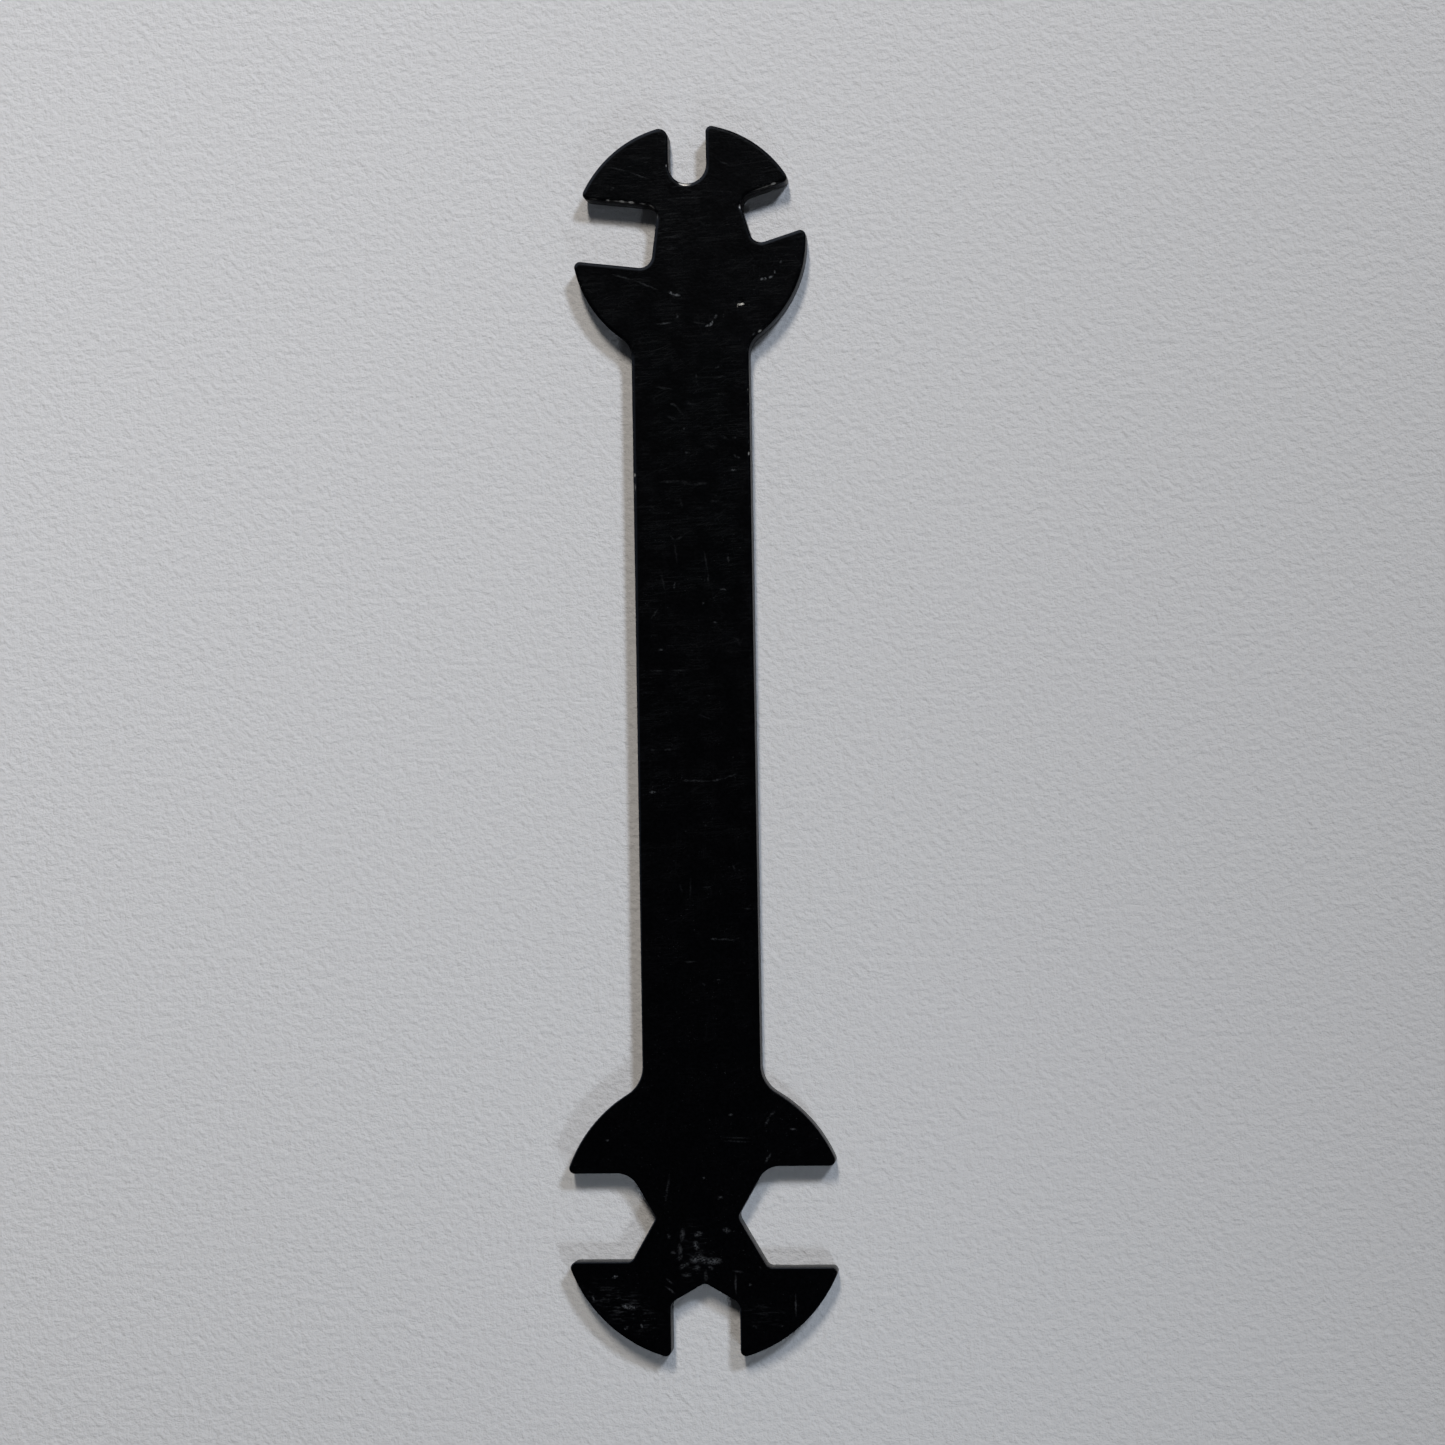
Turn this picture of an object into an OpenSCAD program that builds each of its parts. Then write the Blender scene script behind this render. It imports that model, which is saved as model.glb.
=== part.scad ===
// Flat multi-wrench: one blackened steel plate with small jaws at one end and large jaws at the other.
// It lies on the XY plane, with +Y along the shank towards the small head and the origin under its middle.

/* [Plate] */
// Thickness of the steel plate
plate_t = 2.5; // [1.5:0.1:4]
// Width of the straight shank
shank_w = 9.55; // [7.5:0.05:11]
// Distance between the centres of the two heads
head_spacing = 78.8; // [60:0.1:120]
// Radius on the outer corners of every jaw
tip_r = 0.45; // [0.2:0.05:0.8]
// Width that each opening has over its nominal size
jaw_clearance = 0.1; // [0.02:0.01:0.2]

/* [Small head] */
// Diameter of the small head
small_head_d = 19.1; // [17.5:0.1:24]
// Radius of the hollow corner between the shank and the small head
small_fillet_r = 2; // [0.5:0.1:4]

/* [Round jaw at the end of the small head] */
// Nominal size of the end jaw
end_jaw = 3; // [2:0.5:4]
// Distance from the head's centre to the bottom of the end jaw's round floor
end_jaw_floor = 4.7; // [4:0.1:6]

/* [Square jaw on the left of the small head] */
// Nominal size of the left jaw
left_jaw = 5; // [4:0.5:5.5]
// Angle of the left jaw above the crosswise line
left_jaw_tilt = 7.5; // [0:0.5:10]
// Distance from the head's centre to the left jaw's floor
left_jaw_floor = 2.8; // [1.5:0.1:5]
// Radius in the corners of the left jaw's floor
left_jaw_corner_r = 1; // [0.3:0.05:1.5]

/* [Square jaw on the right of the small head] */
// Nominal size of the right jaw
right_jaw = 4; // [3:0.5:4.5]
// Angle of the right jaw above the crosswise line
right_jaw_tilt = 17; // [5:0.5:22]
// Distance from the head's centre to the right jaw's floor
right_jaw_floor = 4.95; // [3:0.05:6]
// Radius in the corners of the right jaw's floor
right_jaw_corner_r = 0.95; // [0.3:0.05:1.3]

/* [Large head] */
// Diameter of the large head
large_head_d = 23.2; // [21:0.1:30]
// Radius of the hollow corner between the shank and the large head
large_fillet_r = 2.6; // [0.5:0.1:5]
// Angle between the two sides of a notched jaw's floor
notch_angle = 120; // [100:1:140]
// Radius in the point of a notched jaw's floor
notch_point_r = 0.6; // [0.2:0.05:1]
// Radius of a crosswise jaw's floor corner on the shank's side
notch_shank_corner_r = 1.9; // [0.5:0.1:3]
// Radius of a crosswise jaw's floor corner on the end's side
notch_end_corner_r = 0.6; // [0.2:0.05:1.5]

/* [Notched jaw at the end of the large head] */
// Nominal size of the large head's end jaw
end_notch = 5.5; // [4:0.5:6]
// Distance from the head's centre to the point of the end jaw's floor
end_notch_floor = 5.25; // [4.5:0.05:7]
// Radius of the end jaw's two floor corners
end_notch_corner_r = 0.8; // [0.2:0.05:1.5]

/* [Notched jaw on the left of the large head] */
// Nominal size of the large head's left jaw
left_notch = 7; // [5:0.5:8]
// Distance from the head's centre to the point of the left jaw's floor
left_notch_floor = 3.85; // [2.5:0.05:5]

/* [Notched jaw on the right of the large head] */
// Nominal size of the large head's right jaw
right_notch = 8; // [6:0.5:8.5]
// Distance from the head's centre to the point of the right jaw's floor
right_notch_floor = 2.75; // [2:0.05:5]

/* [Hidden] */
$fn = 96;

small_head_r = small_head_d / 2;
large_head_r = large_head_d / 2;
// Directions in which the jaws open, the end jaws along the shank and the others across it
small_end = 90;
large_end = 270;
left_side = 180;
// Height of a jaw's furthest point over its head's centre, on the rounded corner beside the end jaw
small_reach = corner_centre(end_jaw, small_head_r)[0] + tip_r;
large_reach = corner_centre(end_notch, large_head_r)[0] + tip_r;
overall_l = head_spacing + small_reach + large_reach;
small_head_y = overall_l / 2 - small_reach;
large_head_y = large_reach - overall_l / 2;

// Half the width of an opening for a nominal size
function half_opening(size) = (size + jaw_clearance) / 2;

// Centre of the round on a jaw's outer corner, from the head's centre with X along the jaw
function corner_centre(size, head_r) =
    let (y = half_opening(size) + tip_r)
    [sqrt(pow(head_r - tip_r, 2) - pow(y, 2)), y];

// Distance from the head's centre to the outer end of a jaw's cut, past the rim
function mouth(head_r) = head_r + tip_r;

// Unit vector from one point to another
function towards(a, b) = (b - a) / norm(b - a);

// Where the round of radius r at a corner touches the side that leads to another point
function touch(corner, other, beyond, r) =
    let (a = towards(corner, other), b = towards(corner, beyond))
    corner + a * r / tan(acos(a * b) / 2);

// Centre of the round of radius r at a corner between two other points
function round_centre(before, corner, after, r) =
    let (a = towards(corner, before), b = towards(corner, after))
    corner + (a + b) / norm(a + b) * r / sin(acos(a * b) / 2);

// Convex polygon with a radius at each corner, where 0 leaves the corner sharp
module rounded_polygon(points, radii) {
    n = len(points);
    before = [for (i = [0 : n - 1]) points[(i + n - 1) % n]];
    after = [for (i = [0 : n - 1]) points[(i + 1) % n]];
    polygon([
        for (i = [0 : n - 1])
            each radii[i] > 0
                ? [
                    touch(points[i], before[i], after[i], radii[i]),
                    touch(points[i], after[i], before[i], radii[i]),
                ]
                : [points[i]]
    ]);
    for (i = [0 : n - 1])
        if (radii[i] > 0)
            translate(round_centre(before[i], points[i], after[i], radii[i])) circle(r = radii[i]);
}

// What rounding takes off both outer corners of a jaw that opens along X
module tip_rounding(size, head_r) {
    c = corner_centre(size, head_r);
    half = half_opening(size);
    on_arc = c * head_r / (head_r - tip_r);
    for (side = [0, 1])
        mirror([0, side, 0])
            difference() {
                polygon([[c[0], half], c, on_arc, [head_r, half]]);
                translate(c) circle(r = tip_r);
            }
}

// Jaw with a half-round floor, opening along X
module round_jaw(size, floor_x, head_r) {
    half = half_opening(size);
    translate([floor_x + half, 0]) circle(r = half);
    translate([floor_x + half, -half]) square([mouth(head_r) - floor_x - half, 2 * half]);
    tip_rounding(size, head_r);
}

// Jaw with a flat floor and rounded corners, opening along X
module square_jaw(size, floor_x, corner_r, head_r) {
    half = half_opening(size);
    mouth_x = mouth(head_r);
    outline = [[floor_x, half], [floor_x, -half], [mouth_x, -half], [mouth_x, half]];
    rounded_polygon(outline, [corner_r, corner_r, 0, 0]);
    tip_rounding(size, head_r);
}

// Jaw with a pointed floor for a hexagon's corner, opening along X
// Its floor has a corner radius at -Y, the low one, and at +Y, the high one
module notched_jaw(size, floor_x, low_corner_r, high_corner_r, head_r) {
    half = half_opening(size);
    side_x = floor_x + half / tan(notch_angle / 2);
    mouth_x = mouth(head_r);
    outline = [
        [floor_x, 0],
        [side_x, -half],
        [mouth_x, -half],
        [mouth_x, half],
        [side_x, half],
    ];
    rounded_polygon(outline, [notch_point_r, low_corner_r, 0, 0, high_corner_r]);
    tip_rounding(size, head_r);
}

// Round head with its hollow corners to a shank that leaves it along X
module head(head_r, fillet_r) {
    half = shank_w / 2;
    fillet_y = half + fillet_r;
    fillet_x = sqrt(pow(head_r + fillet_r, 2) - pow(fillet_y, 2));
    on_arc = [fillet_x, fillet_y] * head_r / (head_r + fillet_r);
    circle(r = head_r);
    for (side = [0, 1])
        mirror([0, side, 0])
            difference() {
                polygon([[0, 0], [fillet_x, 0], [fillet_x, fillet_y], on_arc]);
                translate([fillet_x, fillet_y]) circle(r = fillet_r);
            }
}

// Both heads and the shank, before the jaws are cut
module blank() {
    translate([-shank_w / 2, large_head_y]) square([shank_w, head_spacing]);
    translate([0, small_head_y]) rotate(large_end) head(small_head_r, small_fillet_r);
    translate([0, large_head_y]) rotate(small_end) head(large_head_r, large_fillet_r);
}

// The three jaws of the small head
module small_jaws() {
    translate([0, small_head_y]) {
        rotate(small_end) round_jaw(end_jaw, end_jaw_floor, small_head_r);
        rotate(left_side - left_jaw_tilt) square_jaw(left_jaw, left_jaw_floor, left_jaw_corner_r, small_head_r);
        rotate(right_jaw_tilt) square_jaw(right_jaw, right_jaw_floor, right_jaw_corner_r, small_head_r);
    }
}

// The three jaws of the large head
module large_jaws() {
    translate([0, large_head_y]) {
        rotate(large_end)
            notched_jaw(end_notch, end_notch_floor, end_notch_corner_r, end_notch_corner_r, large_head_r);
        rotate(left_side)
            notched_jaw(left_notch, left_notch_floor, notch_shank_corner_r, notch_end_corner_r, large_head_r);
        notched_jaw(right_notch, right_notch_floor, notch_end_corner_r, notch_shank_corner_r, large_head_r);
    }
}

// The whole wrench, stamped from one plate
module wrench_plate() {
    color([0.06, 0.06, 0.065])
        linear_extrude(height = plate_t)
            difference() {
                blank();
                small_jaws();
                large_jaws();
            }
}

wrench_plate();
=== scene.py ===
"""Multi-wrench: a flat blackened steel plate, with small jaws at one end and large at the other.

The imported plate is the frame. A finer plate stands for it, with rolled edges, sheared walls, nicks,
dents and a worn black coat. Lengths are in millimetres, and become metres where Blender takes them.
"""

import logging
import math
from dataclasses import dataclass, field
from enum import Enum

import bpy
import numpy as np
from mathutils import Matrix, Vector
from mathutils.geometry import delaunay_2d_cdt


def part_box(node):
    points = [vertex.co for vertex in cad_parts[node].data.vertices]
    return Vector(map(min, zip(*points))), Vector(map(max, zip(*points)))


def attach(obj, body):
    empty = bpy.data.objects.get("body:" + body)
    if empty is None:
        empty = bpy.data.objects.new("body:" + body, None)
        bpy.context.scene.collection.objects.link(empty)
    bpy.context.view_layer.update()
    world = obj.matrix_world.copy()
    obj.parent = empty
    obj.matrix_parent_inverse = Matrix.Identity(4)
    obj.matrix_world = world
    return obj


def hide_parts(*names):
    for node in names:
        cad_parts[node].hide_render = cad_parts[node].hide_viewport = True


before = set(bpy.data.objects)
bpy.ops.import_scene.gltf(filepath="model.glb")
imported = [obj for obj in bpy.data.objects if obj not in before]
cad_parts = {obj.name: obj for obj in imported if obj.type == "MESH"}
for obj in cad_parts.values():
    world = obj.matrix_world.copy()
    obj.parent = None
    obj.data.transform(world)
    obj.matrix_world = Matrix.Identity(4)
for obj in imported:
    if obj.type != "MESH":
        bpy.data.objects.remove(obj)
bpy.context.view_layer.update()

LOG = logging.getLogger("multi_wrench")
NODE = "wrench_plate"
MM = 0.001
QUARTER = math.pi / 2
HALF_TURN = math.pi
FULL_TURN = 2 * math.pi
# Height of a triangle with equal sides, in units of its side
TRIANGLE_RISE = math.sin(math.pi / 3)
# Choice of the triangulation that keeps only what lies inside a closed ring
INSIDE_ONLY = 1
# Distance in millimetres under which two points of a face count as one
TOUCHING = 1e-6
# Numbers of the sockets of a Mix node that mixes colours
MIX_SHARE, MIX_FIRST, MIX_SECOND, MIX_RESULT = 0, 6, 7, 2
# Mean of a noise, so that a noise plus this is about 1
MIDDLE = 0.5
ORIGIN = (0.0, 0.0, 0.0)
# Direction along the shank, towards the small head
ALONG = (0.0, 1.0, 0.0)

Colour = tuple[float, float, float]
Point = tuple[float, float]
Place = tuple[float, float, float]
Size = tuple[float, float, float]


class JawFloor(Enum):
    """How the inner end of a jaw is shaped."""

    ROUND = "round"
    SQUARE = "square"
    NOTCHED = "notched"


class Wear(Enum):
    """What a mark has left of the black coat."""

    HAIRLINE = "hairline"
    SCUFF = "scuff"
    BRUSHED = "brushed"
    CHIP = "chip"


class Face(Enum):
    """Which side of the plate carries a mark."""

    UPPER = "upper"
    LOWER = "lower"


def turned(arcs: np.ndarray, angle: float, centre: Point = (0.0, 0.0)) -> np.ndarray:
    """Turns a table of arcs about the origin and then moves it.

    Args:
        arcs: rows of centre x, centre y, radius, first angle and last angle.
        angle: the turn in radians.
        centre: where the origin goes.

    Returns:
        The turned and moved rows.
    """
    c, s = math.cos(angle), math.sin(angle)
    x = arcs[:, 0] * c - arcs[:, 1] * s + centre[0]
    y = arcs[:, 0] * s + arcs[:, 1] * c + centre[1]
    return np.column_stack([x, y, arcs[:, 2], arcs[:, 3] + angle, arcs[:, 4] + angle])


def smooth(value: np.ndarray, low: float, high: float) -> np.ndarray:
    """A soft step: 0 up to low, 1 from high on, and 3 t squared less 2 t cubed between them.

    Args:
        value: the values to step.
        low: where the step starts.
        high: where it ends, which may be below low.

    Returns:
        The stepped values, from 0 to 1.
    """
    t = np.clip((value - low) / (high - low), 0.0, 1.0)
    return t * t * (3.0 - 2.0 * t)


def opaque(colour: Colour) -> tuple[float, ...]:
    """A colour with its alpha, as a socket takes it."""
    return (*colour, 1.0)


@dataclass(frozen=True)
class Jaw:
    """One open jaw, with X along its opening and the head's centre at the origin.

    Attributes:
        floor: the shape of its inner end.
        size: nominal width across the flats.
        direction: where it opens to, in degrees.
        depth: distance from the head's centre to its floor.
        low_corner_r: radius of the floor's corner on the -Y side.
        high_corner_r: radius of the floor's corner on the +Y side.
        low_tip_r: radius of the outer corner on the -Y side.
        high_tip_r: radius of the outer corner on the +Y side.
        clearance: width that the opening has over its nominal size.
        point_angle: degrees between the two sides of a notched floor.
        point_r: radius in the point of a notched floor.
    """

    floor: JawFloor
    size: float
    direction: float
    depth: float
    low_corner_r: float = 0.0
    high_corner_r: float = 0.0
    low_tip_r: float = 0.45
    high_tip_r: float = 0.45
    clearance: float = 0.1
    point_angle: float = 120.0
    point_r: float = 0.6

    @property
    def half(self) -> float:
        """Half the width of the opening."""
        return (self.size + self.clearance) / 2

    def tip(self, head_r: float, tip_r: float) -> Point:
        """Centre of an outer corner's round, which touches the jaw's side and the head's rim.

        Args:
            head_r: radius of the head.
            tip_r: radius of the outer corner.

        Returns:
            The centre for the +Y side.
        """
        y = self.half + tip_r
        return math.sqrt((head_r - tip_r) ** 2 - y * y), y

    def reach(self, head_r: float) -> float:
        """Distance from the head's centre to the furthest point of the jaw's outer corners."""
        return max(self.tip(head_r, r)[0] + r for r in (self.low_tip_r, self.high_tip_r))

    def corner(self, x: float, y: float, heading: float, turn: float, radius: float) -> list[float]:
        """The round of a floor corner, which turns right by its angle.

        The centre is a tangent length before the corner and a radius to the right of the way in.

        Args:
            x: the corner along the jaw.
            y: the corner across the jaw.
            heading: direction of travel into the corner, in radians.
            turn: how far the way bends to the right.
            radius: the corner's radius.

        Returns:
            One row of centre x, centre y, radius, first angle and last angle.
        """
        back = radius * math.tan(turn / 2)
        cx = x - back * math.cos(heading) + radius * math.sin(heading)
        cy = y - back * math.sin(heading) - radius * math.cos(heading)
        return [cx, cy, radius, heading + QUARTER, heading + QUARTER - turn]

    def floor_arcs(self) -> list[list[float]]:
        """The rounds of the floor from the -Y side to the +Y side.

        Returns:
            One row per round.
        """
        if self.floor is JawFloor.ROUND:
            return [[self.depth + self.half, 0.0, self.half, -QUARTER, -QUARTER - HALF_TURN]]
        if self.floor is JawFloor.SQUARE:
            return [
                self.corner(self.depth, -self.half, HALF_TURN, QUARTER, self.low_corner_r),
                self.corner(self.depth, self.half, QUARTER, QUARTER, self.high_corner_r),
            ]
        lean = math.radians(self.point_angle / 2)
        side_x = self.depth + self.half / math.tan(lean)
        point_turn = HALF_TURN - 2 * lean
        return [
            self.corner(side_x, -self.half, HALF_TURN, lean, self.low_corner_r),
            self.corner(self.depth, 0.0, HALF_TURN - lean, point_turn, self.point_r),
            self.corner(side_x, self.half, lean, lean, self.high_corner_r),
        ]

    def arcs(self, head_r: float) -> np.ndarray:
        """All rounds of the jaw in the order of travel: outer corner, floor, outer corner.

        Args:
            head_r: radius of the head.

        Returns:
            Rows of centre x, centre y, radius, first angle and last angle.
        """
        low_x, low_y = self.tip(head_r, self.low_tip_r)
        high_x, high_y = self.tip(head_r, self.high_tip_r)
        low = [low_x, -low_y, self.low_tip_r, math.atan2(-low_y, low_x), QUARTER]
        high = [high_x, high_y, self.high_tip_r, -QUARTER, math.atan2(high_y, high_x)]
        return np.array([low, *self.floor_arcs(), high])


@dataclass(frozen=True)
class Head:
    """A round head with its jaws and the hollow corners to the shank.

    Attributes:
        end: place of its far end along the wrench.
        radius: radius of its rim.
        fillet_r: radius of the hollow corners.
        shank_direction: where the shank leaves it, in degrees.
        jaws: its open jaws, the one at its end first.
    """

    end: float
    radius: float
    fillet_r: float
    shank_direction: float
    jaws: tuple[Jaw, ...]

    @property
    def centre_y(self) -> float:
        """Place of its centre along the wrench, the end jaw's reach inside its far end."""
        towards_shank = math.sin(math.radians(self.shank_direction))
        return self.end + towards_shank * self.jaws[0].reach(self.radius)

    def turn_to(self, jaw: Jaw) -> float:
        """Degrees from the shank round to a jaw."""
        return (jaw.direction - self.shank_direction) % math.degrees(FULL_TURN)

    def arcs(self, shank_w: float) -> np.ndarray:
        """The head's rounds counter-clockwise, from one side of the shank to the other.

        The hollow corner's centre is its radius outside both the shank's edge and the rim.

        Args:
            shank_w: width of the shank.

        Returns:
            Rows of centre x, centre y, radius, first angle and last angle.
        """
        side = shank_w / 2 + self.fillet_r
        along = math.sqrt((self.radius + self.fillet_r) ** 2 - side * side)
        lean = math.atan2(side, along)
        rows = [np.array([[along, side, self.fillet_r, -QUARTER, lean - HALF_TURN]])]
        reached = lean
        for jaw in sorted(self.jaws, key=self.turn_to):
            arcs = turned(jaw.arcs(self.radius), math.radians(self.turn_to(jaw)))
            rows += [np.array([[0.0, 0.0, self.radius, reached, arcs[0, 3]]]), arcs]
            reached = arcs[-1, 4]
        rows += [
            np.array([[0.0, 0.0, self.radius, reached, FULL_TURN - lean]]),
            np.array([[along, -side, self.fillet_r, HALF_TURN - lean, QUARTER]]),
        ]
        return turned(np.vstack(rows), math.radians(self.shank_direction), (0.0, self.centre_y))


@dataclass(frozen=True)
class Outline:
    """The plate's closed outline: rounds joined by straight lines, with the steel on the left.

    Attributes:
        arcs: rows of centre x, centre y, radius, first angle and last angle.
        step: distance between two points, which a round doesn't exceed.
        slack: share of a step that a straight line may have over without a further point.
        bend: largest turn between two points, in radians.
    """

    arcs: np.ndarray
    step: float = 0.125
    slack: float = 0.15
    bend: float = 0.15

    def sample(self) -> tuple[np.ndarray, np.ndarray]:
        """Points along the outline and the outward direction at each.

        On a round the point is the centre plus the radius along the running angle. Between two rounds
        it runs straight from the end of one to the start of the next.

        Returns:
            The points and the unit normals, as two arrays of x and y.
        """
        x, y, r, first, last = self.arcs.T
        sweep = last - first
        spokes = [np.stack([np.cos(a), np.sin(a)], 1) for a in (first, last)]
        starts, ends = (np.stack([x, y], 1) + r[:, None] * spoke for spoke in spokes)
        way = np.roll(starts, -1, axis=0) - ends
        reach = np.hypot(way[:, 0], way[:, 1])
        on_round = np.maximum(np.abs(sweep) * r / self.step, np.abs(sweep) / self.bend)
        counts = np.stack([np.ceil(on_round), np.ceil(reach / self.step - self.slack)], 1)
        counts = np.maximum(counts, 0).astype(int).ravel()
        part = np.repeat(np.arange(len(counts)), counts)
        place = np.arange(len(part)) - np.repeat(np.cumsum(counts) - counts, counts)
        t = place / counts[part]
        arc, straight = part // 2, part % 2 == 1
        angle = np.where(straight, last[arc], first[arc] + t * sweep[arc])
        spoke = np.stack([np.cos(angle), np.sin(angle)], 1)
        points = np.stack([x, y], 1)[arc] + r[arc, None] * spoke
        points = points + np.where(straight, t, 0.0)[:, None] * way[arc]
        return points, np.sign(sweep[arc])[:, None] * spoke


@dataclass(frozen=True)
class Rings:
    """The rings of the edge's section, as whole columns.

    Attributes:
        inset: how far each ring lies inside the outline where the upper edge is sharp.
        height: its height there.
        roll_in: how much further inside it lies where the upper edge is fully rolled.
        roll_down: how much lower it lies there.
        crest: 1 on the crest of an edge, where wear starts, and 0 away from it.
        upper: the same for the rolled upper edge alone.
        wall: 1 on the wall and 0 on the faces.
        torn: 1 in the middle of the torn zone and 0 outside it.
    """

    inset: np.ndarray
    height: np.ndarray
    roll_in: np.ndarray
    roll_down: np.ndarray
    crest: np.ndarray
    upper: np.ndarray
    wall: np.ndarray
    torn: np.ndarray


@dataclass(frozen=True)
class EdgeProfile:
    """The section through the plate's edge, from the upper face down to the lower one.

    Attributes:
        plate_t: thickness of the plate.
        roll_w: how far the rolled upper edge reaches into the face.
        roll_d: how far the rolled edge reaches down the wall.
        land: height at which the smooth land ends and the torn zone starts.
        lean: how far the torn zone steps back at its foot.
        break_r: radius of the broken lower edge.
        margin: width of the flat strip beside each edge.
        wall_from: share of the rolled edge's turn from which it counts as wall.
        roll_rings: rings on the rolled edge.
        land_rings: rings on the smooth land.
        torn_rings: rings on the torn zone.
        break_rings: rings on the lower edge.
    """

    plate_t: float
    roll_w: float = 0.3
    roll_d: float = 0.11
    land: float = 1.15
    lean: float = 0.03
    break_r: float = 0.18
    margin: float = 0.05
    wall_from: float = 0.7
    roll_rings: int = 10
    land_rings: int = 2
    torn_rings: int = 6
    break_rings: int = 3

    def rings(self) -> Rings:
        """The section's rings.

        The rolled edge is a quarter of an ellipse, level at the face and upright at the wall. The
        land is upright, the torn zone leans back evenly and the lower edge is a quarter of a circle.
        The crest is four times the share of the turn to the wall, times the rest of that turn.

        Returns:
            The rings from the upper face down.
        """
        roll = np.linspace(0.0, QUARTER, self.roll_rings)
        land = np.linspace(0.0, 1.0, self.land_rings + 1)[1:]
        torn = np.linspace(0.0, 1.0, self.torn_rings + 1)[1:]
        lower = np.linspace(0.0, QUARTER, self.break_rings + 1)[1:]
        unrolled = np.zeros(self.torn_rings + self.break_rings + 1)
        inset = np.concatenate([
            [self.margin],
            np.zeros(self.roll_rings + self.land_rings),
            self.lean * torn,
            self.lean + self.break_r * (1.0 - np.cos(lower)),
            [self.lean + self.break_r + self.margin],
        ])
        height = np.concatenate([
            np.full(1 + self.roll_rings, self.plate_t),
            self.plate_t + (self.land - self.plate_t) * land,
            self.land + (self.break_r - self.land) * torn,
            self.break_r * (1.0 - np.sin(lower)),
            [0.0],
        ])
        roll_in = np.concatenate([[1.0], 1.0 - np.sin(roll), np.zeros_like(land), unrolled])
        roll_down = np.concatenate([[0.0], 1.0 - np.cos(roll), 1.0 - land, unrolled])
        upright = np.ones(self.land_rings + self.torn_rings)
        steep = np.concatenate([[0.0], roll / QUARTER, upright, 1.0 - lower / QUARTER, [0.0]])
        crest = 4.0 * steep * (1.0 - steep)
        before = np.zeros(1 + self.roll_rings + self.land_rings)
        after = np.zeros(self.break_rings + 1)
        return Rings(
            inset=inset,
            height=height,
            roll_in=roll_in * self.roll_w,
            roll_down=roll_down * self.roll_d,
            crest=crest,
            upper=crest * (height > self.plate_t / 2),
            wall=smooth(steep, self.wall_from, 1.0),
            torn=np.concatenate([before, np.sin(torn * HALF_TURN), after]),
        )


@dataclass(frozen=True)
class Nick:
    """A place where the upper edge has been knocked or rubbed.

    Attributes:
        x: place across the wrench.
        y: place along the wrench.
        reach: how far along the edge it runs.
        depth: how deep it goes into the edge.
        shine: how far the steel shows, from 0 to 1.
    """

    x: float
    y: float
    reach: float
    depth: float
    shine: float


@dataclass(frozen=True)
class Dent:
    """A small knock in the upper face.

    Attributes:
        x: place across the wrench.
        y: place along the wrench.
        radius: radius of its rim.
        depth: depth at its middle.
    """

    x: float
    y: float
    radius: float
    depth: float


@dataclass(frozen=True)
class Mark:
    """A worn place on a face, drawn as thin ellipses along a path that fade towards their outlines.

    Attributes:
        wear: what is left of the coat there.
        path: the points that it runs through.
        width: its width.
        strength: how far it shows in its middle, from 0 to 1.
        face: the side of the plate that carries it.
    """

    wear: Wear
    path: tuple[Point, ...]
    width: float
    strength: float
    face: Face = Face.UPPER

    def legs(self) -> list[tuple[float, float, float, float]]:
        """The straight legs of the path.

        Returns:
            For each leg the middle's x and y, the length and the direction in degrees.
        """
        made = []
        for (x0, y0), (x1, y1) in zip(self.path, self.path[1:]):
            turn = math.degrees(math.atan2(y1 - y0, x1 - x0))
            made.append(((x0 + x1) / 2, (y0 + y1) / 2, math.hypot(x1 - x0, y1 - y0), turn))
        return made


def worn(wear: Wear, rows: list[tuple[float | Point, ...]], face: Face = Face.UPPER) -> list[Mark]:
    """Marks of one kind.

    Args:
        wear: what is left of the coat there.
        rows: for each mark its width, its strength and the points of its path.
        face: the side of the plate that carries them.

    Returns:
        The marks.
    """
    return [Mark(wear, tuple(path), width, strength, face) for width, strength, *path in rows]


class Wire:
    """A shader socket that takes part in arithmetic: each operator adds a Math node."""

    def __init__(self, bench: "Bench", socket: bpy.types.NodeSocket) -> None:
        """Keeps the socket and the bench that holds its node."""
        self.bench = bench
        self.socket = socket

    def _math(self, operation: str, first: "Wire | float", second: "Wire | float") -> "Wire":
        """Adds one Math node on two values."""
        return self.bench.node("ShaderNodeMath", {"operation": operation}, {0: first, 1: second})

    def __add__(self, other: "Wire | float") -> "Wire":
        """The sum."""
        return self._math("ADD", self, other)

    __radd__ = __add__

    def __sub__(self, other: "Wire | float") -> "Wire":
        """The difference."""
        return self._math("SUBTRACT", self, other)

    def __rsub__(self, other: "Wire | float") -> "Wire":
        """The difference from a plain number."""
        return self._math("SUBTRACT", other, self)

    def __mul__(self, other: "Wire | float") -> "Wire":
        """The product."""
        return self._math("MULTIPLY", self, other)

    __rmul__ = __mul__

    def __or__(self, other: "Wire | float") -> "Wire":
        """The larger of the two."""
        return self._math("MAXIMUM", self, other)

    __ror__ = __or__

    def __abs__(self) -> "Wire":
        """The size without its sign."""
        return self._math("ABSOLUTE", self, 0.0)


@dataclass(frozen=True)
class Grain:
    """A pattern of noise.

    Attributes:
        scale: how many lumps there are per millimetre.
        detail: how many finer octaves are added.
        roughness: how strong these are.
    """

    scale: float
    detail: float = 2.0
    roughness: float = 0.5


# Noise on coordinates that carry the size of its lumps already
STRETCHED = Grain(scale=1.0)


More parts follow.
